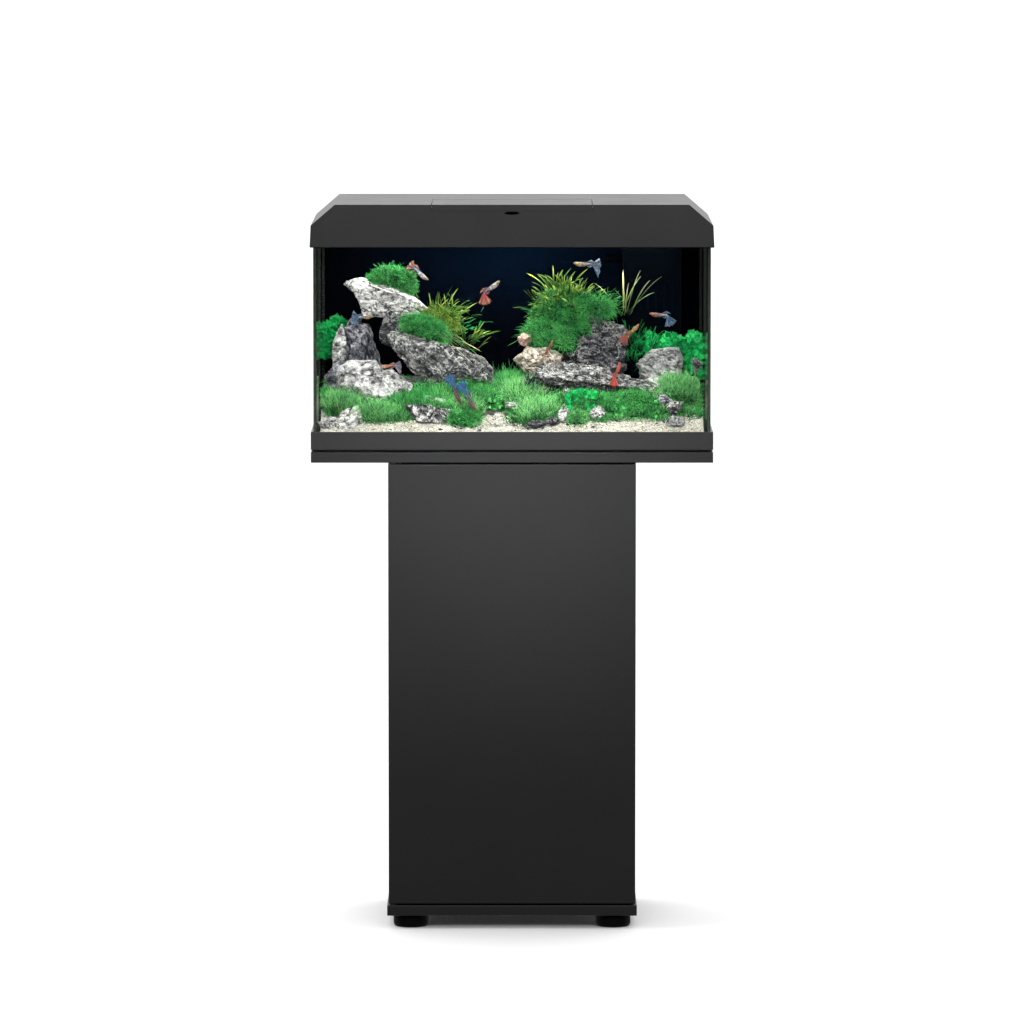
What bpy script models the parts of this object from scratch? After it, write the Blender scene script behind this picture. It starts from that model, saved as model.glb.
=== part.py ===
"""Aquarium on a pedestal stand: cabinet, glass tank, lift-off hood with a feeding flap, internal filter.

Metres, +Z up, front towards -Y. The origin is on the floor, under the middle of the object.
"""

import math
import random

import bmesh
import bpy
from mathutils import Matrix, Vector

# Driving dimensions
TANK_WIDTH = 0.610
TANK_DEPTH = 0.310
STAND_HEIGHT = 0.730
TOTAL_HEIGHT = 1.1055
CABINET_WIDTH = 0.376
BASE_WIDTH = 0.381
BOARD = 0.016
GAP = 0.0003  # clearance between touching pieces

# Stand
FOOT_RADIUS = 0.0270
FOOT_HEIGHT = 0.020
FOOT_INSET = 0.0363
BASE_TOP = FOOT_HEIGHT + BOARD
TOP_BOTTOM = STAND_HEIGHT - BOARD
DOOR_GAP_BELOW = 0.0027
DOOR_GAP_ABOVE = 0.0025
DOOR_GAP_BEHIND = 0.0035
DOOR_LOW = BASE_TOP + DOOR_GAP_BELOW
DOOR_HIGH = TOP_BOTTOM - DOOR_GAP_ABOVE
FRONT = -TANK_DEPTH / 2
DOOR_BACK = FRONT + BOARD
PANEL_FRONT = DOOR_BACK + DOOR_GAP_BEHIND
PANEL_BACK = 0.1510
BACK_PANEL_THICKNESS = 0.003
SHELF_LOW = 0.372
SHELF_FRONT = -0.118
SHELF_BACK = 0.148
SHELF_PIN_RADIUS = 0.0025
SHELF_PIN_REACH = 0.008
SHELF_PIN_Y = (-0.090, 0.110)
CABLE_HOLE = (-0.120, 0.640, 0.025)  # x, z, radius

# Push latch and its strike plate, near the door's free top corner
LATCH_X = 0.127
LATCH_Z = 0.7055
LATCH_HALF = 0.008
LATCH_BACK = -0.068
PLUNGER_RADIUS = 0.0040
PLUNGER_LENGTH = 0.045
PLUNGER_TRAVEL_ROOM = 0.006
STRIKE_HALF = 0.011
STRIKE_LOW = 0.6965
STRIKE_THICKNESS = 0.0018

# Door pivots
PIVOT_INSET = 0.007
PIVOT_X = -CABINET_WIDTH / 2 + PIVOT_INSET
PIVOT_Y = FRONT + BOARD / 2
PIN_RADIUS = 0.0025
BUSH_RADIUS = 0.0040
FLANGE_RADIUS = 0.0065
PIN_DEPTH = 0.009
BUSH_DEPTH = 0.0115

# Tank
GLASS_HALF_X = 0.301
GLASS_HALF_Y = 0.151
GLASS = 0.005
GLASS_BOTTOM = STAND_HEIGHT + 0.0056
GLASS_TOP = 1.0530
FRAME_WALL = 0.004
FRAME_TOP = 0.7610
FRAME_FOOT_HEIGHT = 0.0035
FRAME_FOOT_SETBACK = 0.010  # the frame stands on a foot set back from its face, which leaves a dark line
FRAME_LEDGE = 0.031  # reach of the frame in under the glass
RIM_LOW = 1.0440
RIM_TOP = 1.0560
BEAD = 0.004
SAND_FRONT = 0.0195  # height of the sand above the bottom pane
SAND_BACK = 0.0480

# Hood
HOOD_LOW = 1.0405
HOOD_HALF_Y = 0.156
HOOD_HALF_LOW = 0.306
HOOD_HALF_MID = 0.3045
HOOD_HALF_TOP = 0.268
HOOD_MID = 1.0740
HOOD_WALL = 0.003
SKIRT_CLEARANCE = 0.0023
LEDGE_LOW = RIM_TOP + GAP
LEDGE_OPENING_X = 0.286
LEDGE_OPENING_Y = 0.137
FLAP_HALF = 0.1211
FLAP_CLEARANCE = 0.0010
FLAP_SEAT_RIM = 0.006
FLAP_THICKNESS = 0.004
FLAP_AXIS_Y = -0.0070
FLAP_AXIS_Z = TOTAL_HEIGHT - FLAP_THICKNESS / 2
FLAP_LIP_LOW = 1.0962
FLAP_LIP_THICKNESS = 0.0025
FLAP_PIN_RADIUS = 0.0010
FEED_OPENING_HALF = 0.110
LED_Y = 0.032
LED_HALF_LENGTH = 0.250
LED_HALF_WIDTH = 0.020
LED_LOW = 1.0680
LED_BASE_TOP = 1.0750
LED_FIN_TOP = 1.0800
LED_FIN_PITCH = 0.0085
LED_FIN_HALF = 0.0010
LENS_HALF_WIDTH = 0.017
HANGER_X = 0.18
GROMMET_X = 0.200
GROMMET_Z = 1.082

# Filter box, in the back right corner
FILTER_LOW = Vector((0.170, 0.058, 0.800))
FILTER_HIGH = Vector((0.262, 0.143, 1.030))
FILTER_WALL = 0.0025
FILTER_SLOTS_LOW = (0.830, 0.930)
FILTER_SLOT_HEIGHT = 0.045
FILTER_SLOT_PITCH = 0.0122
SPONGE_BACK = 0.0985
SPONGE_SPLIT = (0.898, 0.901)
SPONGE_TOP = 0.988
PUMP_X = 0.196
PUMP_Y = 0.1205
PUMP_LOW = 0.8035
PUMP_HIGH = 0.850
IMPELLER_Z = 0.827
RISER_TOP = 0.9950
HEATER_X = 0.237
HEATER_LOW = 0.812
HEATER_TOP = 0.985

MATERIALS = {
    "laminate_black": ((0.030, 0.030, 0.031), 0.42, 0.0, 1.0),
    "hood_plastic": ((0.028, 0.028, 0.029), 0.38, 0.0, 1.0),
    "foot_plastic": ((0.012, 0.012, 0.012), 0.50, 0.0, 1.0),
    "glass_clear": ((0.80, 0.90, 0.88), 0.02, 0.0, 0.25),
    "silicone": ((0.02, 0.02, 0.02), 0.45, 0.0, 1.0),
    "backdrop": ((0.006, 0.014, 0.030), 0.60, 0.0, 1.0),
    "led_metal": ((0.70, 0.71, 0.72), 0.35, 1.0, 1.0),
    "led_lens": ((0.95, 0.96, 1.0), 0.30, 0.0, 1.0),
    "steel": ((0.60, 0.60, 0.61), 0.30, 1.0, 1.0),
    "nylon": ((0.80, 0.80, 0.78), 0.45, 0.0, 1.0),
    "filter_plastic": ((0.020, 0.021, 0.023), 0.40, 0.0, 1.0),
    "sponge": ((0.03, 0.10, 0.32), 0.95, 0.0, 1.0),
    "heater_glass": ((0.10, 0.11, 0.12), 0.08, 0.0, 1.0),
    "sand": ((0.72, 0.68, 0.56), 0.95, 0.0, 1.0),
    "rock": ((0.42, 0.43, 0.44), 0.85, 0.0, 1.0),
    "moss": ((0.08, 0.26, 0.06), 0.90, 0.0, 1.0),
}


def make_material(name):
    colour, roughness, metallic, alpha = MATERIALS[name]
    made = bpy.data.materials.new(name)
    made.use_nodes = True
    shader = made.node_tree.nodes["Principled BSDF"]
    shader.inputs["Base Color"].default_value = (*colour, 1.0)
    shader.inputs["Roughness"].default_value = roughness
    shader.inputs["Metallic"].default_value = metallic
    shader.inputs["Alpha"].default_value = alpha
    return made


def mesh_object(name, mesh, origin, material):
    """Link a mesh whose points are given around origin."""
    made = bpy.data.objects.new(name, mesh)
    made.location = origin
    if material:
        if material not in bpy.data.materials:
            make_material(material)
        mesh.materials.append(bpy.data.materials[material])
    bpy.context.scene.collection.objects.link(made)
    return made


def finish_mesh(name, bm):
    bmesh.ops.recalc_face_normals(bm, faces=bm.faces)
    mesh = bpy.data.meshes.new(name)
    bm.to_mesh(mesh)
    bm.free()
    return mesh


def block(name, low, high, material=None, bevel=0.0, segments=2):
    """A board or block between two corners, its edges rounded by bevel."""
    low, high = Vector(low), Vector(high)
    bm = bmesh.new()
    bmesh.ops.create_cube(bm, size=1.0, matrix=Matrix.Diagonal((*(high - low), 1.0)))
    made = mesh_object(name, finish_mesh(name, bm), (low + high) / 2, material)
    if bevel:
        round_edges(made, bevel, segments)
    return made


def round_edges(piece, width, segments=2):
    modifier = piece.modifiers.new("rounded", "BEVEL")
    modifier.width = width
    modifier.segments = segments
    modifier.limit_method = "ANGLE"
    modifier.angle_limit = math.radians(30)


def prism(name, outline, axis, low, high, material=None):
    """An outline extruded along X or Y. Its points are (y, z) for X and (x, z) for Y."""
    bm = bmesh.new()
    rings = []
    for place in (low, high):
        if axis == "X":
            rings.append([bm.verts.new((place, a, b)) for a, b in outline])
        else:
            rings.append([bm.verts.new((a, place, b)) for a, b in outline])
    bm.faces.new(rings[0])
    bm.faces.new(reversed(rings[1]))
    for i in range(len(outline)):
        j = (i + 1) % len(outline)
        bm.faces.new((rings[0][i], rings[0][j], rings[1][j], rings[1][i]))
    return mesh_object(name, finish_mesh(name, bm), (0, 0, 0), material)


def turned(name, profile, centre, material=None, axis="Z", segments=24, hollow=False):
    """A profile of (radius, height) points turned about an axis through centre."""
    bm = bmesh.new()
    rings = []
    for radius, height in profile:
        if radius == 0:
            rings.append([bm.verts.new((0, 0, height))])
            continue
        turns = [2 * math.pi * k / segments for k in range(segments)]
        rings.append([bm.verts.new((radius * math.cos(t), radius * math.sin(t), height)) for t in turns])
    pairs = list(zip(rings, rings[1:]))
    if hollow:
        pairs.append((rings[-1], rings[0]))
    for lower, upper in pairs:
        for k in range(segments):
            n = (k + 1) % segments
            corners = [ring[i % len(ring)] for ring, i in ((lower, k), (lower, n), (upper, n), (upper, k))]
            bm.faces.new(list(dict.fromkeys(corners)))
    if not hollow:
        for ring in (rings[0], rings[-1]):
            if len(ring) > 1:
                bm.faces.new(ring)
    if axis == "Y":
        bm.transform(Matrix.Rotation(math.radians(-90), 4, "X"))
    elif axis == "X":
        bm.transform(Matrix.Rotation(math.radians(90), 4, "Y"))
    mesh = finish_mesh(name, bm)
    mesh.shade_smooth()
    mesh.set_sharp_from_angle(angle=math.radians(35))
    return mesh_object(name, mesh, centre, material)


def rod(name, radius, length, centre, material=None, axis="Z", segments=24):
    half = length / 2
    return turned(name, [(radius, -half), (radius, half)], centre, material, axis, segments)


def mitred_frame(name, half_x, half_y, profile, material):
    """A rectangular ring: a profile of (outward offset, height) points carried round four mitred corners."""
    bm = bmesh.new()
    corners = []
    for sign_x, sign_y in ((-1, -1), (1, -1), (1, 1), (-1, 1)):
        corners.append([bm.verts.new((sign_x * (half_x + u), sign_y * (half_y + u), z)) for u, z in profile])
    count = len(profile)
    for side in range(4):
        here, there = corners[side], corners[(side + 1) % 4]
        for i in range(count):
            j = (i + 1) % count
            bm.faces.new((here[i], there[i], there[j], here[j]))
    return mesh_object(name, finish_mesh(name, bm), (0, 0, 0), material)


def combine(target, tool, operation):
    """Cut target with tool, or join them. The tool stays as a hidden guide."""
    modifier = target.modifiers.new(operation.lower(), "BOOLEAN")
    modifier.operation = operation
    modifier.object = tool
    tool.hide_render = True
    tool.display_type = "WIRE"


def cut(target, tool):
    combine(target, tool, "DIFFERENCE")


def join(target, tool):
    combine(target, tool, "UNION")


def pivot(name, place, pieces):
    """An empty on a joint's axis that carries the pieces that move about it."""
    axis = bpy.data.objects.new(name, None)
    axis.location = place
    bpy.context.scene.collection.objects.link(axis)
    for piece in pieces:
        piece.parent = axis
        piece.matrix_parent_inverse = Matrix.Translation(place).inverted()
    return axis


def foot(name, x, y):
    height = FOOT_HEIGHT - GAP
    profile = [(0, 0), (FOOT_RADIUS - 0.004, 0), (FOOT_RADIUS - 0.0012, 0.0012), (FOOT_RADIUS, 0.004)]
    profile += [(FOOT_RADIUS, height - 0.002), (FOOT_RADIUS - 0.0015, height), (0, height)]
    turned(name, profile, (x, y, 0), "foot_plastic", segments=32)


def stand_boards():
    base_half, top_half = BASE_WIDTH / 2, TANK_WIDTH / 2
    low, high = (-base_half, FRONT, FOOT_HEIGHT), (base_half, -FRONT, BASE_TOP)
    base = block("base_board", low, high, "laminate_black", 0.0010)
    low, high = (-top_half, FRONT, TOP_BOTTOM), (top_half, -FRONT, STAND_HEIGHT)
    top = block("top_board", low, high, "laminate_black", 0.0010)
    radius = PIN_RADIUS + GAP
    cut(base, rod("base_pin_hole", radius, 2 * PIN_DEPTH, (PIVOT_X, PIVOT_Y, BASE_TOP)))
    cut(top, rod("top_pin_hole", radius, 2 * PIN_DEPTH, (PIVOT_X, PIVOT_Y, TOP_BOTTOM)))


def side_panel(name, side):
    outer, inner = side * CABINET_WIDTH / 2, side * (CABINET_WIDTH / 2 - BOARD)
    low = (min(outer, inner), PANEL_FRONT, BASE_TOP + GAP)
    high = (max(outer, inner), PANEL_BACK, TOP_BOTTOM - GAP)
    panel = block(name, low, high, "laminate_black", 0.0006, 1)
    for y in SHELF_PIN_Y:
        hole = rod(f"{name}_hole_{y:.2f}", SHELF_PIN_RADIUS + GAP, 2 * SHELF_PIN_REACH + GAP,
                   (inner, y, SHELF_LOW - SHELF_PIN_RADIUS - GAP), axis="X", segments=12)
        cut(panel, hole)
    return panel


def shelf_and_pins():
    inner = CABINET_WIDTH / 2 - BOARD - 0.0005
    low, high = (-inner, SHELF_FRONT, SHELF_LOW), (inner, SHELF_BACK, SHELF_LOW + BOARD)
    block("shelf", low, high, "laminate_black", 0.0006, 1)
    number = 0
    for x in (-1, 1):
        for y in SHELF_PIN_Y:
            number += 1
            centre = (x * (CABINET_WIDTH / 2 - BOARD), y, SHELF_LOW - SHELF_PIN_RADIUS - GAP)
            rod(f"shelf_pin_{number}", SHELF_PIN_RADIUS, 2 * SHELF_PIN_REACH - GAP, centre, "steel", "X", 12)


def back_panel():
    half = CABINET_WIDTH / 2 - 0.001
    low = (-half, PANEL_BACK + GAP, BASE_TOP + GAP)
    high = (half, PANEL_BACK + GAP + BACK_PANEL_THICKNESS, TOP_BOTTOM - GAP)
    panel = block("back_panel", low, high, "laminate_black")
    x, z, radius = CABLE_HOLE
    cut(panel, rod("cable_hole", radius, 0.02, (x, PANEL_BACK, z), axis="Y", segments=32))


def pivot_bush(name, door_edge, side):
    """A flanged bush in the door's edge, its flange in the gap. side is +1 at the top, -1 at the bottom."""
    flange = 0.0016
    profile = [(PIN_RADIUS + GAP, -BUSH_DEPTH), (BUSH_RADIUS, -BUSH_DEPTH), (BUSH_RADIUS, GAP)]
    profile += [(FLANGE_RADIUS, GAP), (FLANGE_RADIUS, GAP + flange), (PIN_RADIUS + GAP, GAP + flange)]
    profile = [(r, side * z) for r, z in profile]
    return turned(name, profile, (PIVOT_X, PIVOT_Y, door_edge), "nylon", hollow=True)


def door():
    half = CABINET_WIDTH / 2
    panel = block("door", (-half, FRONT, DOOR_LOW), (half, DOOR_BACK, DOOR_HIGH), "laminate_black", 0.0010)
    for edge in (DOOR_LOW, DOOR_HIGH):
        depth = 2 * BUSH_DEPTH + 0.001
        cut(panel, rod(f"bush_hole_{edge:.3f}", BUSH_RADIUS + GAP, depth, (PIVOT_X, PIVOT_Y, edge)))
    upper = pivot_bush("door_bush_upper", DOOR_HIGH, 1)
    lower = pivot_bush("door_bush_lower", DOOR_LOW, -1)
    reach = PIN_DEPTH - GAP
    for name, board_face, door_face, up in (
        ("door_pin_upper", TOP_BOTTOM, DOOR_HIGH, 1), ("door_pin_lower", BASE_TOP, DOOR_LOW, -1)
    ):
        ends = (board_face + up * reach, door_face - up * reach)
        rod(name, PIN_RADIUS, abs(ends[0] - ends[1]), (PIVOT_X, PIVOT_Y, sum(ends) / 2), "steel")
    low = (LATCH_X - STRIKE_HALF, DOOR_BACK + GAP, STRIKE_LOW)
    high = (LATCH_X + STRIKE_HALF, DOOR_BACK + GAP + STRIKE_THICKNESS, DOOR_HIGH - 0.001)
    strike = block("latch_strike_plate", low, high, "steel")
    pivot("door_axis", (PIVOT_X, PIVOT_Y, DOOR_LOW), [panel, upper, lower, strike])


def push_latch():
    low = (LATCH_X - LATCH_HALF, PANEL_FRONT + 0.002, LATCH_Z - LATCH_HALF)
    high = (LATCH_X + LATCH_HALF, LATCH_BACK, TOP_BOTTOM - GAP)
    housing = block("latch_housing", low, high, "hood_plastic", 0.0010, 1)
    tip = DOOR_BACK + GAP + STRIKE_THICKNESS + 0.0005
    tail = tip + PLUNGER_LENGTH
    mouth, bore_end = tip - 0.001, tail + PLUNGER_TRAVEL_ROOM
    centre = (LATCH_X, (bore_end + mouth) / 2, LATCH_Z)
    cut(housing, rod("plunger_bore", PLUNGER_RADIUS + GAP, bore_end - mouth, centre, axis="Y"))
    centre = (LATCH_X, (tip + tail) / 2, LATCH_Z)
    plunger = rod("latch_plunger", PLUNGER_RADIUS, PLUNGER_LENGTH, centre, "nylon", "Y")
    pivot("plunger_axis", (LATCH_X, tip, LATCH_Z), [plunger])


def tank_base_frame():
    foot_top = STAND_HEIGHT + FRAME_FOOT_HEIGHT
    shelf_top = GLASS_BOTTOM - GAP
    low = STAND_HEIGHT + GAP
    profile = [(-FRAME_LEDGE, low), (-FRAME_FOOT_SETBACK, low), (-FRAME_FOOT_SETBACK, foot_top)]
    profile += [(FRAME_WALL - 0.0006, foot_top), (FRAME_WALL, foot_top + 0.0006)]
    profile += [(FRAME_WALL, FRAME_TOP - 0.0008), (FRAME_WALL - 0.0008, FRAME_TOP)]
    profile += [(GAP, FRAME_TOP), (GAP, shelf_top), (-FRAME_LEDGE, shelf_top)]
    mitred_frame("tank_base_frame", GLASS_HALF_X, GLASS_HALF_Y, profile, "hood_plastic")


def tank_panes():
    inner_x, inner_y = GLASS_HALF_X - GLASS, GLASS_HALF_Y - GLASS
    joint = 0.0005
    low, high = GLASS_BOTTOM, GLASS_TOP
    side_y = inner_y - joint
    bottom_x = inner_x - joint
    panes = {
        "front_pane": ((-GLASS_HALF_X, -GLASS_HALF_Y, low), (GLASS_HALF_X, -inner_y, high)),
        "back_pane": ((-GLASS_HALF_X, inner_y, low), (GLASS_HALF_X, GLASS_HALF_Y, high)),
        "left_pane": ((-GLASS_HALF_X, -side_y, low), (-inner_x, side_y, high)),
        "right_pane": ((inner_x, -side_y, low), (GLASS_HALF_X, side_y, high)),
        "bottom_pane": ((-bottom_x, -side_y, low), (bottom_x, side_y, low + GLASS)),
    }
    for name, (near, far) in panes.items():
        block(name, near, far, "glass_clear", 0.0005, 1)


def silicone_seam():
    """One bead along the four corners and round the bottom pane."""
    outer_x, outer_y = GLASS_HALF_X - GLASS - 0.0008, GLASS_HALF_Y - GLASS - 0.0008
    low = GLASS_BOTTOM + GLASS + GAP
    high = GLASS_TOP - 0.002
    seam = block("silicone_seam", (-outer_x, -outer_y, low), (outer_x, outer_y, high), "silicone")
    inner_x, inner_y, far = outer_x - BEAD, outer_y - BEAD, 1.0
    cut(seam, block("seam_cut_front", (-inner_x, -far, low + BEAD), (inner_x, far, high + far)))
    cut(seam, block("seam_cut_side", (-far, -inner_y, low + BEAD), (far, inner_y, high + far)))
    cut(seam, block("seam_cut_floor", (-inner_x, -inner_y, low - far), (inner_x, inner_y, high + far)))


def tank_rim():
    profile = [(GAP, RIM_LOW), (0.0020, RIM_LOW), (0.0020, RIM_TOP), (-0.013, RIM_TOP)]
    profile += [(-0.013, GLASS_TOP + GAP), (GAP, GLASS_TOP + GAP)]
    mitred_frame("tank_rim", GLASS_HALF_X, GLASS_HALF_Y, profile, "hood_plastic")


def backdrop_film():
    y = GLASS_HALF_Y + GAP
    half = GLASS_HALF_X - 0.002
    block("backdrop_film", (-half, y, FRAME_TOP + GAP), (half, y + 0.0005, RIM_LOW - GAP), "backdrop")


def hood_outline(inset, low):
    """The hood's end profile, moved inwards by inset, from low up."""
    slope = Vector((HOOD_HALF_TOP - HOOD_HALF_MID, TOTAL_HEIGHT - HOOD_MID)).normalized()
    start = Vector((HOOD_HALF_MID, HOOD_MID)) - inset * Vector((slope.y, -slope.x))
    wall, top = HOOD_HALF_MID - inset, TOTAL_HEIGHT - inset
    mid = start + slope * ((wall - start.x) / slope.x)
    peak = start + slope * ((top - start.y) / slope.y)
    foot_x = wall if inset else HOOD_HALF_LOW
    right = [(foot_x, low), (mid.x, mid.y), (peak.x, peak.y)]
    return right + [(-x, z) for x, z in reversed(right)]


def hood_shell():
    """A folded shell with a ledge that rests on the tank's rim, and a seat for the feeding flap."""
    shell = prism("hood_shell", hood_outline(0, HOOD_LOW), "Y", -HOOD_HALF_Y, HOOD_HALF_Y, "hood_plastic")
    round_edges(shell, 0.0012, 2)
    ledge_top = LEDGE_LOW + HOOD_WALL
    skirt_x, skirt_y = GLASS_HALF_X + SKIRT_CLEARANCE, GLASS_HALF_Y + SKIRT_CLEARANCE
    cut(shell, block("skirt_space", (-skirt_x, -skirt_y, HOOD_LOW - 0.01), (skirt_x, skirt_y, LEDGE_LOW)))
    low = (-LEDGE_OPENING_X, -LEDGE_OPENING_Y, LEDGE_LOW - 0.001)
    cut(shell, block("ledge_opening", low, (LEDGE_OPENING_X, LEDGE_OPENING_Y, ledge_top + 0.001)))
    inner_y = HOOD_HALF_Y - HOOD_WALL
    cut(shell, prism("lamp_space", hood_outline(HOOD_WALL, ledge_top), "Y", -inner_y, inner_y))
    flap_seat(shell)
    cut(shell, rod("grommet_hole", 0.0060, 0.02, (GROMMET_X, HOOD_HALF_Y, GROMMET_Z), axis="Y"))
    return shell


def flap_seat(shell):
    """Thicken the shell under the flap, then cut the recess, opening, finger slot and hinge bore."""
    recess_half = FLAP_HALF + FLAP_CLEARANCE
    seat_half = recess_half + FLAP_SEAT_RIM
    floor = TOTAL_HEIGHT - FLAP_THICKNESS - GAP
    front = -HOOD_HALF_Y
    outside, seat_front, beyond = front - 0.01, front + 0.0015, floor + 0.002
    lip_back = front + FLAP_LIP_THICKNESS + GAP
    recess_back = FLAP_AXIS_Y + FLAP_THICKNESS / 2 + FLAP_CLEARANCE
    join(shell, block("flap_floor", (-seat_half, seat_front, floor - 0.005), (seat_half, 0.004, beyond)))
    join(shell, block("lip_wall", (-seat_half, seat_front, 1.0860), (seat_half, front + 0.0080, floor)))
    high = (recess_half, recess_back, TOTAL_HEIGHT + 0.01)
    cut(shell, block("flap_recess", (-recess_half, outside, floor), high))
    low = (-recess_half, outside, FLAP_LIP_LOW - GAP)
    cut(shell, block("lip_recess", low, (recess_half, lip_back, beyond)))
    low = (-FEED_OPENING_HALF, front + 0.018, floor - 0.02)
    cut(shell, block("feed_opening", low, (FEED_OPENING_HALF, -0.018, floor + 0.01)))
    arc = [2 * math.pi * i / 20 for i in range(20)]
    outline = [(0.0115 * math.cos(a), 1.0928 + 0.0024 * math.sin(a)) for a in arc]
    cut(shell, prism("finger_slot", outline, "Y", outside, front + 0.0035))
    axis = (0, FLAP_AXIS_Y, FLAP_AXIS_Z)
    cut(shell, rod("hinge_bore", FLAP_PIN_RADIUS + GAP, 2 * FLAP_HALF + 0.0080, axis, axis="X", segments=12))


def feeding_flap():
    top, bottom = TOTAL_HEIGHT, TOTAL_HEIGHT - FLAP_THICKNESS
    radius = FLAP_THICKNESS / 2
    arc = [math.radians(a) for a in range(-90, 91, 30)]
    outline = [(FLAP_AXIS_Y + radius * math.cos(a), FLAP_AXIS_Z + radius * math.sin(a)) for a in arc]
    front = -HOOD_HALF_Y
    lip_back = front + FLAP_LIP_THICKNESS
    outline += [(front + 0.0012, top), (front + 0.0003, top - 0.0003), (front, top - 0.0012)]
    outline += [(front, FLAP_LIP_LOW), (lip_back, FLAP_LIP_LOW), (lip_back, bottom)]
    flap = prism("feeding_flap", outline, "X", -FLAP_HALF, FLAP_HALF, "hood_plastic")
    axis = (0, FLAP_AXIS_Y, FLAP_AXIS_Z)
    cut(flap, rod("flap_bore", FLAP_PIN_RADIUS + GAP, 2 * FLAP_HALF + 0.01, axis, axis="X", segments=12))
    pin = rod("flap_hinge_rod", FLAP_PIN_RADIUS, 2 * FLAP_HALF + 0.0074, axis, "steel", "X", 12)
    return flap, pin


def lamp():
    """The light bar: a finned rail, its diffuser and two hangers under the hood's top."""
    left, right = LED_Y - LED_HALF_WIDTH, LED_Y + LED_HALF_WIDTH
    outline = [(left, LED_LOW), (right, LED_LOW), (right, LED_BASE_TOP)]
    for k in (2, 1, 0, -1, -2):
        near, far = LED_Y + k * LED_FIN_PITCH + LED_FIN_HALF, LED_Y + k * LED_FIN_PITCH - LED_FIN_HALF
        outline += [(near, LED_BASE_TOP), (near, LED_FIN_TOP), (far, LED_FIN_TOP), (far, LED_BASE_TOP)]
    outline += [(left, LED_BASE_TOP)]
    pieces = [prism("led_rail", outline, "X", -LED_HALF_LENGTH, LED_HALF_LENGTH, "led_metal")]
    lens = [(LED_Y + LENS_HALF_WIDTH, LED_LOW - GAP), (LED_Y - LENS_HALF_WIDTH, LED_LOW - GAP)]
    for k in range(7):
        angle = math.radians(k * 30)
        lens.append((LED_Y - LENS_HALF_WIDTH * math.cos(angle), LED_LOW - 0.002 - 0.004 * math.sin(angle)))
    lens_end = LED_HALF_LENGTH - 0.001
    pieces.append(prism("led_diffuser", lens, "X", -lens_end, lens_end, "led_lens"))
    pieces.append(lamp_hanger("led_hanger_left", -HANGER_X))
    pieces.append(lamp_hanger("led_hanger_right", HANGER_X))
    return pieces


def lamp_hanger(name, x):
    """A bracket of I section: its foot on the rail's fins, its head against the hood's top."""
    low, high = LED_FIN_TOP + GAP, TOTAL_HEIGHT - HOOD_WALL - GAP
    foot_half, head_half, web, flange, width = 0.018, 0.014, 0.0012, 0.0025, 0.024
    right = [(foot_half, low), (foot_half, low + flange), (web, low + flange)]
    right += [(web, high - flange), (head_half, high - flange), (head_half, high)]
    outline = [(LED_Y + u, z) for u, z in right] + [(LED_Y - u, z) for u, z in reversed(right)]
    return prism(name, outline, "X", x - width / 2, x + width / 2, "steel")


def cable_grommet():
    inner = HOOD_HALF_Y - HOOD_WALL - GAP
    back = HOOD_HALF_Y - 0.0002
    profile = [(0.0035, inner - 0.0025), (0.0085, inner - 0.0025), (0.0085, inner), (0.0057, inner)]
    profile += [(0.0057, back), (0.0035, back)]
    return turned("cable_grommet", profile, (GROMMET_X, 0, GROMMET_Z), "silicone", axis="Y", hollow=True)


def hood():
    flap, pin = feeding_flap()
    pieces = [hood_shell(), pin, cable_grommet(), *lamp()]
    lift = pivot("hood_axis", (0, 0, HOOD_LOW), pieces)
    flap_axis = pivot("flap_axis", (0, FLAP_AXIS_Y, FLAP_AXIS_Z), [flap])
    flap_axis.parent = lift
    flap_axis.matrix_parent_inverse = Matrix.Translation(lift.location).inverted()


def filter_box():
    housing = block("filter_housing", FILTER_LOW, FILTER_HIGH, "filter_plastic", 0.0015, 2)
    wall = Vector((FILTER_WALL, FILTER_WALL, FILTER_WALL))
    inside_high = FILTER_HIGH - wall + Vector((0, 0, 0.05))
    cut(housing, block("filter_space", FILTER_LOW + wall, inside_high))
    front, left = FILTER_LOW.y, FILTER_LOW.x
    for row, z in enumerate(FILTER_SLOTS_LOW):
        for k in range(6):
            x = left + 0.0155 + k * FILTER_SLOT_PITCH
            low, high = (x - 0.002, front - 0.01, z), (x + 0.002, front + 0.01, z + FILTER_SLOT_HEIGHT)
            cut(housing, block(f"slot_{row}_{k}", low, high))
    cut(housing, block("nozzle_notch", (left - 0.01, 0.1010, 0.9985), (left + 0.01, 0.1395, 1.06)))
    low = FILTER_LOW + wall + Vector((0.002, 0.002, 0.001))
    right = FILTER_HIGH.x - FILTER_WALL - 0.002
    block("sponge_coarse", low, (right, SPONGE_BACK, SPONGE_SPLIT[0]), "sponge")
    block("sponge_fine", (low.x, low.y, SPONGE_SPLIT[1]), (right, SPONGE_BACK, SPONGE_TOP), "sponge")


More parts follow.
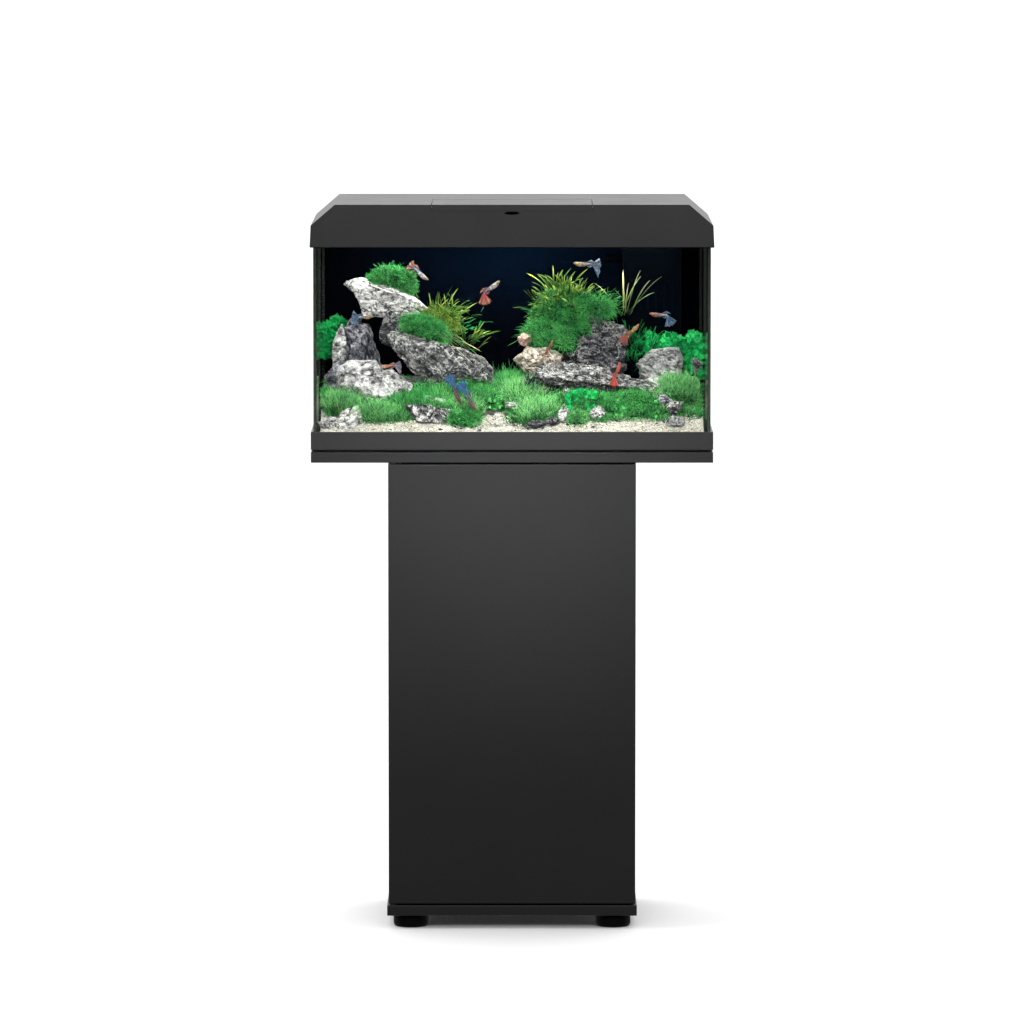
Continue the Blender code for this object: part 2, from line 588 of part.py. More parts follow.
def pump():
    low = (PUMP_X - 0.020, PUMP_Y - 0.0175, PUMP_LOW)
    high = (PUMP_X + 0.020, PUMP_Y + 0.0180, PUMP_HIGH)
    body = block("pump_body", low, high, "filter_plastic", 0.0015, 1)
    front = low[1]
    cut(body, rod("impeller_chamber", 0.0130, 0.040, (PUMP_X, front, IMPELLER_Z), axis="Y", segments=32))
    near = (low[0] + 0.001, front - 0.0032, low[2] + 0.006)
    far = (high[0] - 0.001, front - GAP, high[2] - 0.001)
    cover = block("pump_cover", near, far, "filter_plastic", 0.0006, 1)
    for k in range(5):
        x = PUMP_X + (k - 2) * 0.0050
        near = (x - 0.0012, front - 0.01, IMPELLER_Z - 0.010)
        far = (x + 0.0012, front + 0.01, IMPELLER_Z + 0.010)
        cut(cover, block(f"intake_{k}", near, far))
    riser = [(0.0055, PUMP_HIGH + GAP), (0.0078, PUMP_HIGH + GAP), (0.0078, RISER_TOP), (0.0055, RISER_TOP)]
    turned("pump_riser", riser, (PUMP_X, PUMP_Y, 0), "filter_plastic", hollow=True)


def impeller():
    centre = (PUMP_X, PUMP_Y - 0.0080, IMPELLER_Z)
    wheel = rod("pump_impeller", 0.0045, 0.016, centre, "nylon", "Y", 16)
    for k in range(6):
        turn = k * math.pi / 3
        blade = block(f"blade_{k}", (-0.0007, -0.0060, -0.0045), (0.0007, 0.0060, 0.0045))
        blade.location = Vector(centre) + Matrix.Rotation(turn, 3, "Y") @ Vector((0, 0, 0.0065))
        blade.rotation_euler = (0, turn, 0)
        join(wheel, blade)
    pivot("impeller_axis", centre, [wheel])


def nozzle():
    z = RISER_TOP + GAP
    profile = [(0, z), (0.0095, z), (0.0095, z + 0.0200), (0.0080, z + 0.0215), (0, z + 0.0215)]
    socket = turned("pump_nozzle", profile, (PUMP_X, PUMP_Y, 0), "filter_plastic")
    spout = rod("nozzle_spout", 0.0060, 0.050, (PUMP_X - 0.025, PUMP_Y, z + 0.0120), axis="X")
    join(socket, spout)
    reach = PUMP_X - 0.050
    cut(socket, rod("spout_bore", 0.0045, 0.090, (reach + 0.045, PUMP_Y, z + 0.0120), axis="X", segments=16))
    cut(socket, rod("socket_bore", 0.0050, 0.024, (PUMP_X, PUMP_Y, z), segments=16))
    pivot("nozzle_axis", (PUMP_X, PUMP_Y, z), [socket])


def heater():
    low, high, radius = HEATER_LOW, HEATER_TOP, 0.0105
    profile = [(0, low), (0.006, low + 0.001), (0.0095, low + 0.005), (radius, low + 0.011)]
    profile += [(radius, high), (0, high)]
    turned("heater_tube", profile, (HEATER_X, PUMP_Y, 0), "heater_glass")
    knob_height = 0.018
    middle = (HEATER_X, PUMP_Y, high + GAP + knob_height / 2)
    knob = rod("heater_knob", 0.0110, knob_height, middle, "filter_plastic", segments=32)
    near = (HEATER_X - 0.0008, PUMP_Y - 0.0128, high + 0.002)
    far = (HEATER_X + 0.0008, PUMP_Y - 0.006, high + 0.017)
    join(knob, block("knob_pointer", near, far))
    pivot("knob_axis", (HEATER_X, PUMP_Y, high), [knob])


def sand_height(y, lift=0.0):
    """The sand's surface rises evenly from the front pane to the back pane."""
    half = GLASS_HALF_Y - GLASS
    share = (y + half) / (2 * half)
    return GLASS_BOTTOM + GLASS + SAND_FRONT + (SAND_BACK - SAND_FRONT) * share + lift


def substrate():
    half = GLASS_HALF_Y - GLASS - 0.0008 - BEAD - GAP
    half_x = GLASS_HALF_X - GLASS - 0.0008 - BEAD - GAP
    low = GLASS_BOTTOM + GLASS + GAP
    outline = [(-half, low), (half, low), (half, sand_height(half)), (-half, sand_height(-half))]
    prism("substrate", outline, "X", -half_x, half_x, "sand")


def boulder(name, low, high, seed, material="rock", lean=0.0):
    """A rounded lump that fills a box and leans to the right, cut off flat at the sand."""
    low, high = Vector(low), Vector(high)
    centre, half = (low + high) / 2, (high - low) / 2
    rng = random.Random(seed)
    bm = bmesh.new()
    bmesh.ops.create_icosphere(bm, subdivisions=2, radius=1.0)
    for vert in bm.verts:
        direction = vert.co.normalized()
        square = 1 / max(sum(abs(c) ** 4 for c in direction) ** 0.25, 1e-6)
        vert.co = direction * min(square, 1.18) * (1 - 0.10 * rng.random()) / 1.08
    reach = [max(abs(v.co[i]) for v in bm.verts) for i in range(3)]
    bm.transform(Matrix.Diagonal((*[half[i] / reach[i] for i in range(3)], 1.0)))
    bm.transform(Matrix.Translation(centre) @ Matrix.Rotation(math.radians(lean), 4, "Y"))
    slope = (sand_height(0.1) - sand_height(-0.1)) / 0.2
    up = Vector((0, -slope, 1)).normalized()
    cut_at = Vector((0, 0, sand_height(0, 2 * GAP)))
    geometry = [*bm.verts, *bm.edges, *bm.faces]
    bmesh.ops.bisect_plane(bm, geom=geometry, plane_co=cut_at, plane_no=up, clear_inner=True)
    open_edges = [edge for edge in bm.edges if edge.is_boundary]
    if open_edges:
        bmesh.ops.contextual_create(bm, geom=open_edges)
    bmesh.ops.triangulate(bm, faces=bm.faces)
    return mesh_object(name, finish_mesh(name, bm), (0, 0, 0), material)


def rockwork():
    """Rocks of the left stack and the right stack. Each stays clear of the next."""
    boulder("rock_left_cap", (-0.256, 0.000, 0.9215), (-0.158, 0.088, 0.984), 3)
    boulder("rock_left_back", (-0.262, 0.005, 0.770), (-0.205, 0.095, 0.9195), 5)
    boulder("rock_left_slab", (-0.215, -0.075, 0.8450), (-0.025, 0.000, 0.9050), 7, lean=25)
    boulder("rock_left_front", (-0.276, -0.105, 0.760), (-0.182, -0.018, 0.862), 11)
    boulder("rock_left_middle", (-0.168, -0.085, 0.760), (-0.045, 0.060, 0.812), 13)
    boulder("rock_right_core", (0.085, -0.030, 0.765), (0.178, 0.050, 0.919), 19)
    boulder("rock_right_ledge", (0.043, -0.098, 0.812), (0.236, -0.048, 0.853), 29)
    boulder("rock_right_boulder", (0.190, -0.040, 0.770), (0.268, 0.045, 0.882), 31)


def plants():
    """Plain lumps in the space of the moss that grows on both stacks."""
    boulder("moss_left", (-0.250, 0.010, 0.9870), (-0.150, 0.080, 1.006), 41, "moss")
    boulder("moss_right", (0.014, -0.030, 0.9215), (0.160, 0.055, 0.987), 43, "moss")


def main():
    for existing in list(bpy.data.objects):
        bpy.data.objects.remove(existing, do_unlink=True)
    number = 0
    foot_x, foot_y = BASE_WIDTH / 2 - FOOT_INSET, TANK_DEPTH / 2 - FOOT_INSET
    for x in (-foot_x, foot_x):
        for y in (-foot_y, foot_y):
            number += 1
            foot(f"foot_{number}", x, y)
    stand_boards()
    side_panel("left_side_panel", -1)
    side_panel("right_side_panel", 1)
    back_panel()
    shelf_and_pins()
    door()
    push_latch()
    tank_base_frame()
    tank_panes()
    silicone_seam()
    tank_rim()
    backdrop_film()
    hood()
    filter_box()
    pump()
    impeller()
    nozzle()
    heater()
    substrate()
    rockwork()
    plants()


main()
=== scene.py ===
"""Looks of the aquarium on its stand: finishes for the CAD pieces, and the planted rockwork in the tank.

Metres, in the CAD's frame: front towards -Y, +Z up. What stands in the tank rides on the tank's body.
"""

import math
import random

import bmesh
import bpy
import numpy as np
from mathutils import Euler, Matrix, Vector, noise


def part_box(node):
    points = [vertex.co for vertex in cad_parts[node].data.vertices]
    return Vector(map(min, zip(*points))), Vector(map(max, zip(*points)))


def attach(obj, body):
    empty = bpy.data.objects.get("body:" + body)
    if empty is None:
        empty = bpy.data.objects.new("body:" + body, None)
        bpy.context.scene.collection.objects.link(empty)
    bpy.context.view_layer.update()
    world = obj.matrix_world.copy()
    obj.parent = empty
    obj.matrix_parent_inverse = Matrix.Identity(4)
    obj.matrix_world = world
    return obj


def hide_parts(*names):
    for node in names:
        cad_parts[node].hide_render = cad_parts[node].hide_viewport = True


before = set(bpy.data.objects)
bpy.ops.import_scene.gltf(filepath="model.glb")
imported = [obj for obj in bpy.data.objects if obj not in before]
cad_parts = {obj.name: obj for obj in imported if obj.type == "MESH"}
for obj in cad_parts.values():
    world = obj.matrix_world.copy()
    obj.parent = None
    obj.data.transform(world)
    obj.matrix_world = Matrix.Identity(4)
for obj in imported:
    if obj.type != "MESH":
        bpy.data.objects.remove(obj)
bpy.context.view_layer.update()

TANK_BODY = "stand_and_tank"
SUBSTRATE_LOW, SUBSTRATE_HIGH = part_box("substrate")
SAND_BACK = SUBSTRATE_HIGH.z
SAND_SLOPE = 0.0285 / 0.2919
SAND_FRONT = SAND_BACK - SAND_SLOPE * (SUBSTRATE_HIGH.y - SUBSTRATE_LOW.y)
LEAVES_PER_CLUMP, BLADES_PER_TUFT = 90, 60

# ---- material tools


class Nodes:
    """A node tree, and short ways to add what the finishes and the sky are made from."""

    def __init__(self, tree, coordinates):
        self.tree = tree
        self.place = self.add("ShaderNodeTexCoord").outputs[coordinates]

    def add(self, kind, links=None, **values):
        """A new node. Values set its properties or its inputs, links join outputs to its inputs."""
        node = self.tree.nodes.new(kind)
        for key, value in values.items():
            if hasattr(node, key):
                setattr(node, key, value)
            else:
                node.inputs[key.replace("_", " ")].default_value = value
        for key, output in (links or {}).items():
            self.tree.links.new(output, node.inputs[key])
        return node

    def feed(self, socket, item):
        """Puts a number, a colour or another node's output into a socket."""
        if isinstance(item, bpy.types.NodeSocket):
            self.tree.links.new(item, socket)
        else:
            socket.default_value = (*item, 1.0) if isinstance(item, tuple) else item

    def stretched(self, scale, place=None):
        return self.add("ShaderNodeMapping", {"Vector": place or self.place}, Scale=scale).outputs["Vector"]

    def noise(self, scale, detail=4.0, roughness=0.6, distortion=0.0, place=None):
        return self.add("ShaderNodeTexNoise", {"Vector": place or self.place}, Scale=scale, Detail=detail,
                        Roughness=roughness, Distortion=distortion).outputs["Fac"]

    def cells(self, scale, output="Distance"):
        return self.add("ShaderNodeTexVoronoi", {"Vector": self.place}, Scale=scale).outputs[output]

    def ramp(self, value, stops):
        node = self.add("ShaderNodeValToRGB", {"Fac": value})
        elements = node.color_ramp.elements
        while len(elements) < len(stops):
            elements.new(0.5)
        for element, (position, colour) in zip(elements, stops):
            element.position = position
            element.color = (*colour, 1.0)
        return node.outputs["Color"]

    def spread(self, value, low, high, from_low=0.0, from_high=1.0):
        """Value's range from_low to from_high, mapped onto low to high."""
        return self.add("ShaderNodeMapRange", {"Value": value}, From_Min=from_low, From_Max=from_high, To_Min=low,
                        To_Max=high).outputs["Result"]

    def blend(self, factor, first, second, mode="MIX"):
        node = self.add("ShaderNodeMix", data_type="RGBA", blend_type=mode)
        for index, item in ((0, factor), (6, first), (7, second)):
            self.feed(node.inputs[index], item)
        return node.outputs[2]

    def maths(self, operation, first, second=0.0):
        node = self.add("ShaderNodeMath", operation=operation)
        self.feed(node.inputs[0], first)
        self.feed(node.inputs[1], second)
        return node.outputs[0]

    def times(self, first, second):
        return self.maths("MULTIPLY", first, second)

    def size_of(self, value, centre=0.0):
        """How far value lies from centre, on either side."""
        return self.maths("ABSOLUTE", self.maths("SUBTRACT", value, centre))

    def axis(self, name, source=None):
        return self.add("ShaderNodeSeparateXYZ", {"Vector": source or self.place}).outputs[name]


class Finish(Nodes):
    """A Principled material whose inputs are fed by small chains of nodes."""

    def __init__(self, name, colour, roughness=0.5, metallic=0.0, specular=0.5):
        self.material = bpy.data.materials.new(name)
        self.material.use_nodes = True
        super().__init__(self.material.node_tree, "Object")
        self.shader = self.tree.nodes["Principled BSDF"]
        self.set("Base Color", (*colour, 1.0))
        self.set("Roughness", roughness)
        self.set("Metallic", metallic)
        self.set("Specular IOR Level", specular)

    def set(self, socket, value):
        self.shader.inputs[socket].default_value = value

    def link(self, output, socket):
        self.tree.links.new(output, self.shader.inputs[socket])

    def attribute(self, name, output="Fac"):
        return self.add("ShaderNodeAttribute", attribute_name=name).outputs[output]

    def bump(self, height, strength, distance, after=None):
        links = {"Height": height, "Normal": after} if after else {"Height": height}
        normal = self.add("ShaderNodeBump", links, Strength=strength, Distance=distance).outputs["Normal"]
        self.link(normal, "Normal")
        return normal


def laminate():
    """Satin black melamine board: a fine pearl grain, a little cloudiness in the sheen."""
    f = Finish("laminate_satin_black", (0.0100, 0.0100, 0.0104), 0.50, specular=0.30)
    cloud = f.noise(9.0, 3.0)
    f.link(f.spread(cloud, 0.47, 0.55), "Roughness")
    f.link(f.blend(cloud, (0.0092, 0.0092, 0.0096), (0.0110, 0.0110, 0.0114)), "Base Color")
    f.bump(f.noise(900.0, 2.0, 0.7, place=f.stretched((1.0, 1.0, 0.55))), 0.10, 0.00020)
    return f


def moulded(name, colour, roughness, specular=0.5):
    """Moulded plastic with a fine spark-eroded grain."""
    f = Finish(name, colour, roughness, specular=specular)
    f.link(f.spread(f.noise(14.0, 3.0), roughness - 0.05, roughness + 0.05), "Roughness")
    f.bump(f.noise(1400.0, 3.0, 0.65), 0.16, 0.00018)
    return f


def hood_plastic():
    """Satin hood plastic, with painted shade: black and lightless inside the oval finger slot under the feeding flap.
    """
    black = (0.0036, 0.0036, 0.0038)
    f = moulded("hood_satin_black", black, 0.42, 0.27)
    # Painted shade: the finger slot's recess is painted black and made metallic, so that it reflects nothing.
    slot = f.spread(f.size_of(f.axis("X")), 1.0, 0.0, 0.0120, 0.0130)
    floor, ceiling, face = (0.0, 1.0, 1.0895, 1.0900), (1.0, 0.0, 1.0956, 1.0958), (0.0, 1.0, -0.1557, -0.1552)
    for axis, limits in (("Z", floor), ("Z", ceiling), ("Y", face)):
        slot = f.times(slot, f.spread(f.axis(axis), *limits))
    f.link(f.blend(slot, black, (0.0004, 0.0004, 0.0004)), "Base Color")
    f.link(slot, "Metallic")
    return f


def seam_silicone():
    """Clear silicone, which lets most of what lies behind it through."""
    f = Finish("silicone_clear", (0.030, 0.036, 0.030), 0.35, specular=0.2)
    f.set("Alpha", 0.16)
    f.bump(f.noise(500.0, 3.0), 0.16, 0.0003)
    return f


def pane_glass(axis):
    """Clear glass: a mirror whose opacity is its gloss, so that it shows at a glancing angle and clears face on.
    Water behind the side panes turns all light back beyond about 49 degrees, as it does in a real tank.
    The cut edges, which face away from axis, are dark green."""
    f = Finish(f"pane_glass_{axis.lower()}", (0.9, 0.95, 0.93), 0.02)
    normal = f.add("ShaderNodeNewGeometry").outputs["Normal"]
    across = f.axis(axis, normal)
    broad = f.maths("GREATER_THAN", f.size_of(across), 0.7)
    gloss, face_on = f.add("ShaderNodeFresnel", IOR=1.07).outputs["Fac"], 0.0015
    gloss = f.maths("MAXIMUM", f.maths("SUBTRACT", gloss, face_on), 0.0)
    if axis == "X":
        glancing = f.spread(f.add("ShaderNodeLayerWeight", Blend=0.5).outputs["Facing"], 0.0, 1.0, 0.30, 0.42)
        inner = f.maths("LESS_THAN", f.times(across, f.axis("X")), 0.0)
        gloss = f.maths("MAXIMUM", gloss, f.times(glancing, inner))
    f.link(f.maths("MAXIMUM", f.times(gloss, broad), f.maths("SUBTRACT", 0.85, broad)), "Alpha")
    edge = f.ramp(f.noise(160.0, 2.0), [(0.3, (0.026, 0.036, 0.026)), (0.7, (0.045, 0.058, 0.042))])
    f.link(f.blend(broad, edge, (0.90, 0.95, 0.93)), "Base Color")
    f.link(broad, "Metallic")
    return f


def metal(name, colour, roughness):
    """Brushed metal, its scratches running along X."""
    f = Finish(name, colour, roughness, metallic=1.0)
    scratches = f.noise(60.0, place=f.stretched((1.0, 40.0, 40.0)))
    f.link(f.spread(scratches, roughness - 0.08, roughness + 0.12), "Roughness")
    f.bump(scratches, 0.12, 0.0001)
    return f


def backdrop():
    """Night-blue film with painted light: a soft blue glow high in the middle that fades to black at the sides and
    below.
    """
    f = Finish("backdrop_navy", (0.001, 0.003, 0.007), 0.9, specular=0.02)
    # Painted light: a pool of light painted into the film's colour, brightest high in the middle.
    centre = f.spread(f.size_of(f.axis("X")), 1.0, 0.0, 0.0, 0.27)
    height = f.spread(f.axis("Z"), 0.0, 1.0, 0.84, 1.04)
    glow = f.times(centre, f.times(height, height))
    tone = f.blend(glow, (0.0001, 0.0003, 0.0012), (0.0010, 0.0070, 0.0190))
    f.link(f.blend(f.spread(f.noise(5.0, 3.0), 0.0, 0.4), tone, (0.0003, 0.0009, 0.0026)), "Base Color")
    f.bump(f.noise(300.0, 2.0), 0.08, 0.0002)
    return f


def diffuser():
    f = Finish("diffuser_frosted", (0.90, 0.92, 0.95), 0.35)
    f.set("Emission Color", (0.92, 0.96, 1.0, 1.0))
    f.set("Emission Strength", 2.0)
    f.bump(f.noise(700.0, 2.0), 0.15, 0.0002)
    return f


def sponge_foam():
    f = Finish("sponge_foam", (0.001, 0.002, 0.006), 0.95, specular=0.0)
    pores = f.cells(900.0)
    f.link(f.ramp(pores, [(0.15, (0.0004, 0.0008, 0.002)), (0.6, (0.0012, 0.003, 0.009))]), "Base Color")
    f.bump(pores, 0.9, 0.0012)
    return f


def smoked_glass():
    f = Finish("heater_glass_smoked", (0.020, 0.022, 0.024), 0.06, specular=0.6)
    f.link(f.spread(f.noise(40.0), 0.04, 0.12), "Roughness")
    f.set("Coat Weight", 0.4)
    return f


def rock_stone(name, dark, middle, light, veins=0.5):
    """Weathered limestone: relief holds painted shade and light, hollows dark and crests pale, under specks, cracks
    and veins.
    """
    f = Finish(name, middle, 0.88, specular=0.15)
    mottled = f.noise(62.0, 8.0, 0.72, 0.6)
    fine = f.noise(330.0, 6.0, 0.8, 0.3)
    # relief carries painted shade and light from the stone's shape: dark in its grooves, pale on crests and upward
    # facets.
    mix = f.times(f.attribute("relief"), 0.80)
    for speckle, weight in ((mottled, 0.9), (fine, 1.5)):
        mix = f.maths("ADD", mix, f.times(f.maths("SUBTRACT", speckle, 0.5), weight))
    body = f.ramp(mix, [(0.08, dark), (0.42, middle), (0.80, light)])
    crack = f.spread(f.size_of(f.noise(46.0, 5.0, 0.62, 0.9), 0.5), 0.85, 0.0, 0.0, 0.014)
    vein = f.spread(f.size_of(f.noise(24.0, 3.0, 0.6, 1.6), 0.5), veins, 0.0, 0.0, 0.012)
    f.link(f.blend(vein, f.blend(crack, body, dark), (0.70, 0.70, 0.66)), "Base Color")
    rough = f.bump(mottled, 0.8, 0.0022)
    rough = f.bump(f.maths("SUBTRACT", 1.0, crack), 0.6, 0.0010, rough)
    f.bump(fine, 0.8, 0.0009, rough)
    return f


def sand_grains():
    """Cream gravel: each small cell has its own tone, with a few dark and orange grains."""
    f = Finish("sand_cream", (0.80, 0.77, 0.66), 0.9, specular=0.1)
    tone = f.axis("X", f.cells(560.0, output="Color"))
    body = f.ramp(tone, [(0.0, (0.05, 0.04, 0.03)), (0.12, (0.26, 0.22, 0.16)), (0.30, (0.29, 0.285, 0.24)),
                         (0.75, (0.40, 0.405, 0.355)), (1.0, (0.58, 0.585, 0.54))])
    drift = f.spread(f.noise(22.0), 0.0, 0.35)
    f.link(f.blend(drift, body, (0.66, 0.60, 0.46), "MULTIPLY"), "Base Color")
    f.bump(f.noise(1500.0, 2.0), 0.4, 0.0004, f.bump(f.cells(560.0), 0.8, 0.0012))
    return f


def foliage(name, base, tip, shade):
    """Leaves: tint holds each leaf's own shade in red and the place along it, root to tip, in green."""
    f = Finish(name, base, 0.62, specular=0.12)
    tint = f.attribute("tint", "Color")
    own, along = f.axis("X", tint), f.axis("Y", tint)
    # Painted shade: each leaf darkens from its base colour to the near-black shade colour at its root, where leaves
    # crowd.
    body = f.blend(f.spread(along, 0.0, 0.9, 0.40, 1.0), f.blend(along, shade, base), tip)
    tones = f.ramp(own, [(0.0, (0.22, 0.42, 0.34)), (0.5, (0.85, 0.90, 0.85)), (1.0, (1.65, 1.30, 1.0))])
    body = f.blend(1.0, body, tones, "MULTIPLY")
    patch = f.spread(f.noise(48.0, 3.0), 0.35, 1.45)
    grey = f.add("ShaderNodeCombineColor", {"Red": patch, "Green": patch, "Blue": patch}).outputs["Color"]
    f.link(f.blend(1.0, body, grey, "MULTIPLY"), "Base Color")
    f.set("Subsurface Weight", 0.10)
    f.set("Subsurface Radius", (0.0008, 0.0030, 0.0008))
    return f


# ---- mesh tools


def link_mesh(name, verts, faces, finish, **attributes):
    """A smooth object in the scene. Attributes are colours, one for each point."""
    mesh = bpy.data.meshes.new(name)
    mesh.from_pydata([tuple(v) for v in verts], [], faces)
    mesh.update()
    mesh.shade_smooth()
    for key, values in attributes.items():
        layer = mesh.color_attributes.new(key, "FLOAT_COLOR", "POINT")
        layer.data.foreach_set("color", np.asarray(values, dtype=np.float32).ravel())
    made = bpy.data.objects.new(name, mesh)
    bpy.context.scene.collection.objects.link(made)
    mesh.materials.append(finish.material)
    return made


def in_tank(piece, slot=None, *nodes):
    """The piece rides on the tank's body and stands for the CAD nodes named. slot is not used."""
    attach(piece, TANK_BODY)
    if nodes:
        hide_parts(*nodes)


def mm(*values):
    """Millimetres as metres."""
    return tuple(value / 1000 for value in values)


def place_all(make, slot, rows, **shared):
    """A piece in the tank from each row: its name, its middle and half sizes in millimetres, and the rest."""
    for name, middle, half, *rest in rows:
        in_tank(make(name, mm(*middle), mm(*half), *rest, **shared), slot)


def quads(rows, columns):
    """The quads over a grid of points that is listed row by row."""
    return [(a, a + 1, a + columns + 1, a + columns)
            for row in range(rows - 1) for a in range(row * columns, (row + 1) * columns - 1)]


def grid_edge(rows, columns):
    """The points round the edge of such a grid, in order."""
    last = (rows - 1) * columns
    edge = list(range(columns - 1)) + [row * columns + columns - 1 for row in range(rows - 1)]
    return edge + [last + k for k in range(columns - 1, 0, -1)] + [row * columns for row in range(rows - 1, 0, -1)]


def closed_sheet(rows, columns):
    """The faces of a thin closed sheet: two such grids, one listed after the other, joined round their edge."""
    layer, front, edge = rows * columns, quads(rows, columns), grid_edge(rows, columns)
    back = [(layer + a, layer + d, layer + c, layer + b) for a, b, c, d in front]
    return front + back + [(a, a + layer, b + layer, b) for a, b in zip(edge, edge[1:] + edge[:1])]


def moved(faces, start):
    """Faces whose points are listed from start on."""
    return [tuple(start + point for point in face) for face in faces]


def fractal(point, octaves, seed):
    """Noise summed over octaves, about -1 to 1."""
    total, size, weight = 0.0, 1.0, 1.0
    for octave in range(octaves):
        total += weight * noise.noise(point * size + Vector((seed, octave * 7.1, -seed)))
        size *= 2.07
        weight *= 0.52
    return total


def unit_sphere(detail):
    bm = bmesh.new()
    bmesh.ops.create_icosphere(bm, subdivisions=detail, radius=1.0)
    verts = np.array([v.co for v in bm.verts])
    faces = [tuple(v.index for v in f.verts) for f in bm.faces]
    bm.free()
    return verts, faces


def turn_matrix(tilt):
    return np.array(Euler([math.radians(a) for a in tilt]).to_matrix())


def ground(x, y):
    """Height of the sand: level with the frame in front, banked up on both sides of a path that soon closes."""
    share = (y - SUBSTRATE_LOW.y) / (SUBSTRATE_HIGH.y - SUBSTRATE_LOW.y)
    height = SAND_FRONT + (SAND_BACK - SAND_FRONT) * share
    path = -0.006 - 0.34 * (y + 0.14)
    half_path = max(0.058 - 0.48 * (y + 0.14), 0.008)
    bank = min(max((abs(x - path) - half_path) / 0.06, 0.0), 1.0)
    closing = min(max((y + 0.075) / 0.07, 0.0), 0.9)
    bank = max(bank * bank * (3 - 2 * bank), closing)
    rise = min(max((y + 0.136) / 0.075, 0.0), 1.0)
    height += 0.034 * bank * rise
    ripple = noise.noise(Vector((x * 38, y * 38, 0.0))) + 0.4 * noise.noise(Vector((x * 130, y * 130, 5.0)))
    return height + 0.0016 * ripple


# ---- rocks


def groove(point, seed):
    """1 along winding lines where noise crosses zero, falling off sharply to both sides."""
    return (1 - min(abs(noise.noise(point + Vector((seed, -seed, 0.5 * seed)))) * 2.6, 1.0)) ** 3


def outline_reach(flat, outline):
    """How far a closed outline in x and z, listed anticlockwise round its middle, lies along each direction."""
    reach = np.ones(len(flat))
    corners = [mm(*corner) for corner in outline]
    for (px, pz), (qx, qz) in zip(corners, corners[1:] + corners[:1]):
        met = (px * flat[:, 1] - pz * flat[:, 0] >= 0) & (flat[:, 0] * qz - flat[:, 1] * qx >= 0)
        run = flat[:, 0] * (qz - pz) - flat[:, 1] * (qx - px)
        reach = np.where(met, (px * qz - pz * qx) / np.where(np.abs(run) < 1e-9, 1e-9, run), reach)
    return reach


def rock(name, centre, half, seed, finish, tilt=(0, 0, 0), facets=12, grain=(0.15, 0.1, 1.0), chip=0.016,
         depth=0.0032, flat=1.8, detail=6, outline=None):
    """A broken stone. Random planes cut a ball into facets, each with its own tone and a painted light, paler where it
    faces up. An outline, if one is given, sets its shape seen from the front. Winding grooves, packed closer across
    the grain, then score it, painted darker as shade, and noise wears it.
    """
    rng = random.Random(seed)
    directions, faces = unit_sphere(detail)
    reach = np.full(len(directions), 1.30)
    facet_tone_and_painted_light, tones = np.zeros(len(directions)), random.Random(seed + 500)
    for _ in range(facets):
        normal = Vector((rng.gauss(0, 1), rng.gauss(0, 1), rng.gauss(0, 1))).normalized()
        toward = directions @ np.array(normal)
        limit = rng.uniform(0.60, 0.95) / np.maximum(toward, 0.05)
        faced = (toward > 0.05) & (limit < reach)
        reach = np.where(faced, limit, reach)
        # Each facet's own random tone, plus painted light: paler as the facet faces up, darker as it faces down.
        facet_tone_and_painted_light = np.where(faced, 0.15 * normal.z + tones.uniform(-0.14, 0.06), facet_tone_and_painted_light)
    body = directions * reach[:, None]
    body -= (body.max(0) + body.min(0)) / 2
    body *= np.array(half) / body.max(0)
    if outline:
        wide = np.linalg.norm(directions[:, (0, 2)], axis=1, keepdims=True)
        front = directions[:, (0, 2)] / np.maximum(wide, 1e-6)
        body[:, (0, 2)] = front * outline_reach(front, outline)[:, None] * wide ** 0.55
    across = Vector(grain).normalized()
    size = sum(half) / 3
    relief = np.zeros(len(body))
    for i, point in enumerate(body):
        p = Vector(point)
        lump = fractal(p / size * 0.9, 2, seed)
        warped = p + Vector((0.8, 0.6, 0.5)) * (0.35 * chip * noise.noise(p / chip * 0.5))
        place = (warped + across * (warped.dot(across) * (flat - 1))) / chip
        wide = groove(place * 0.65, seed)
        narrow = groove(place * 1.5, seed + 4.0)
        step = noise.noise(place * 0.8 + Vector((0, 0, seed)))
        rough = fractal(place * 2.8, 4, seed + 3.3)
        push = 0.07 * size * lump + depth * (1.2 * abs(step) + 0.40 * rough - 1.0 * wide - 0.5 * narrow)
        # Painted shade and light: the grooves are painted darker and the places the noise raises paler, over the
        # noise's own tone.
        relief[i] = 0.58 + 0.10 * step + 0.40 * rough + 0.06 * lump - 0.46 * wide ** 3 - 0.45 * narrow ** 2
        body[i] = point + directions[i] * push
    placed = body @ turn_matrix(tilt).T + np.array(centre)
    tone = np.clip(relief + facet_tone_and_painted_light, 0, 1)
    return link_mesh(name, placed, faces, finish, relief=np.stack([tone, tone, tone, np.ones_like(tone)], 1))


# ---- plants


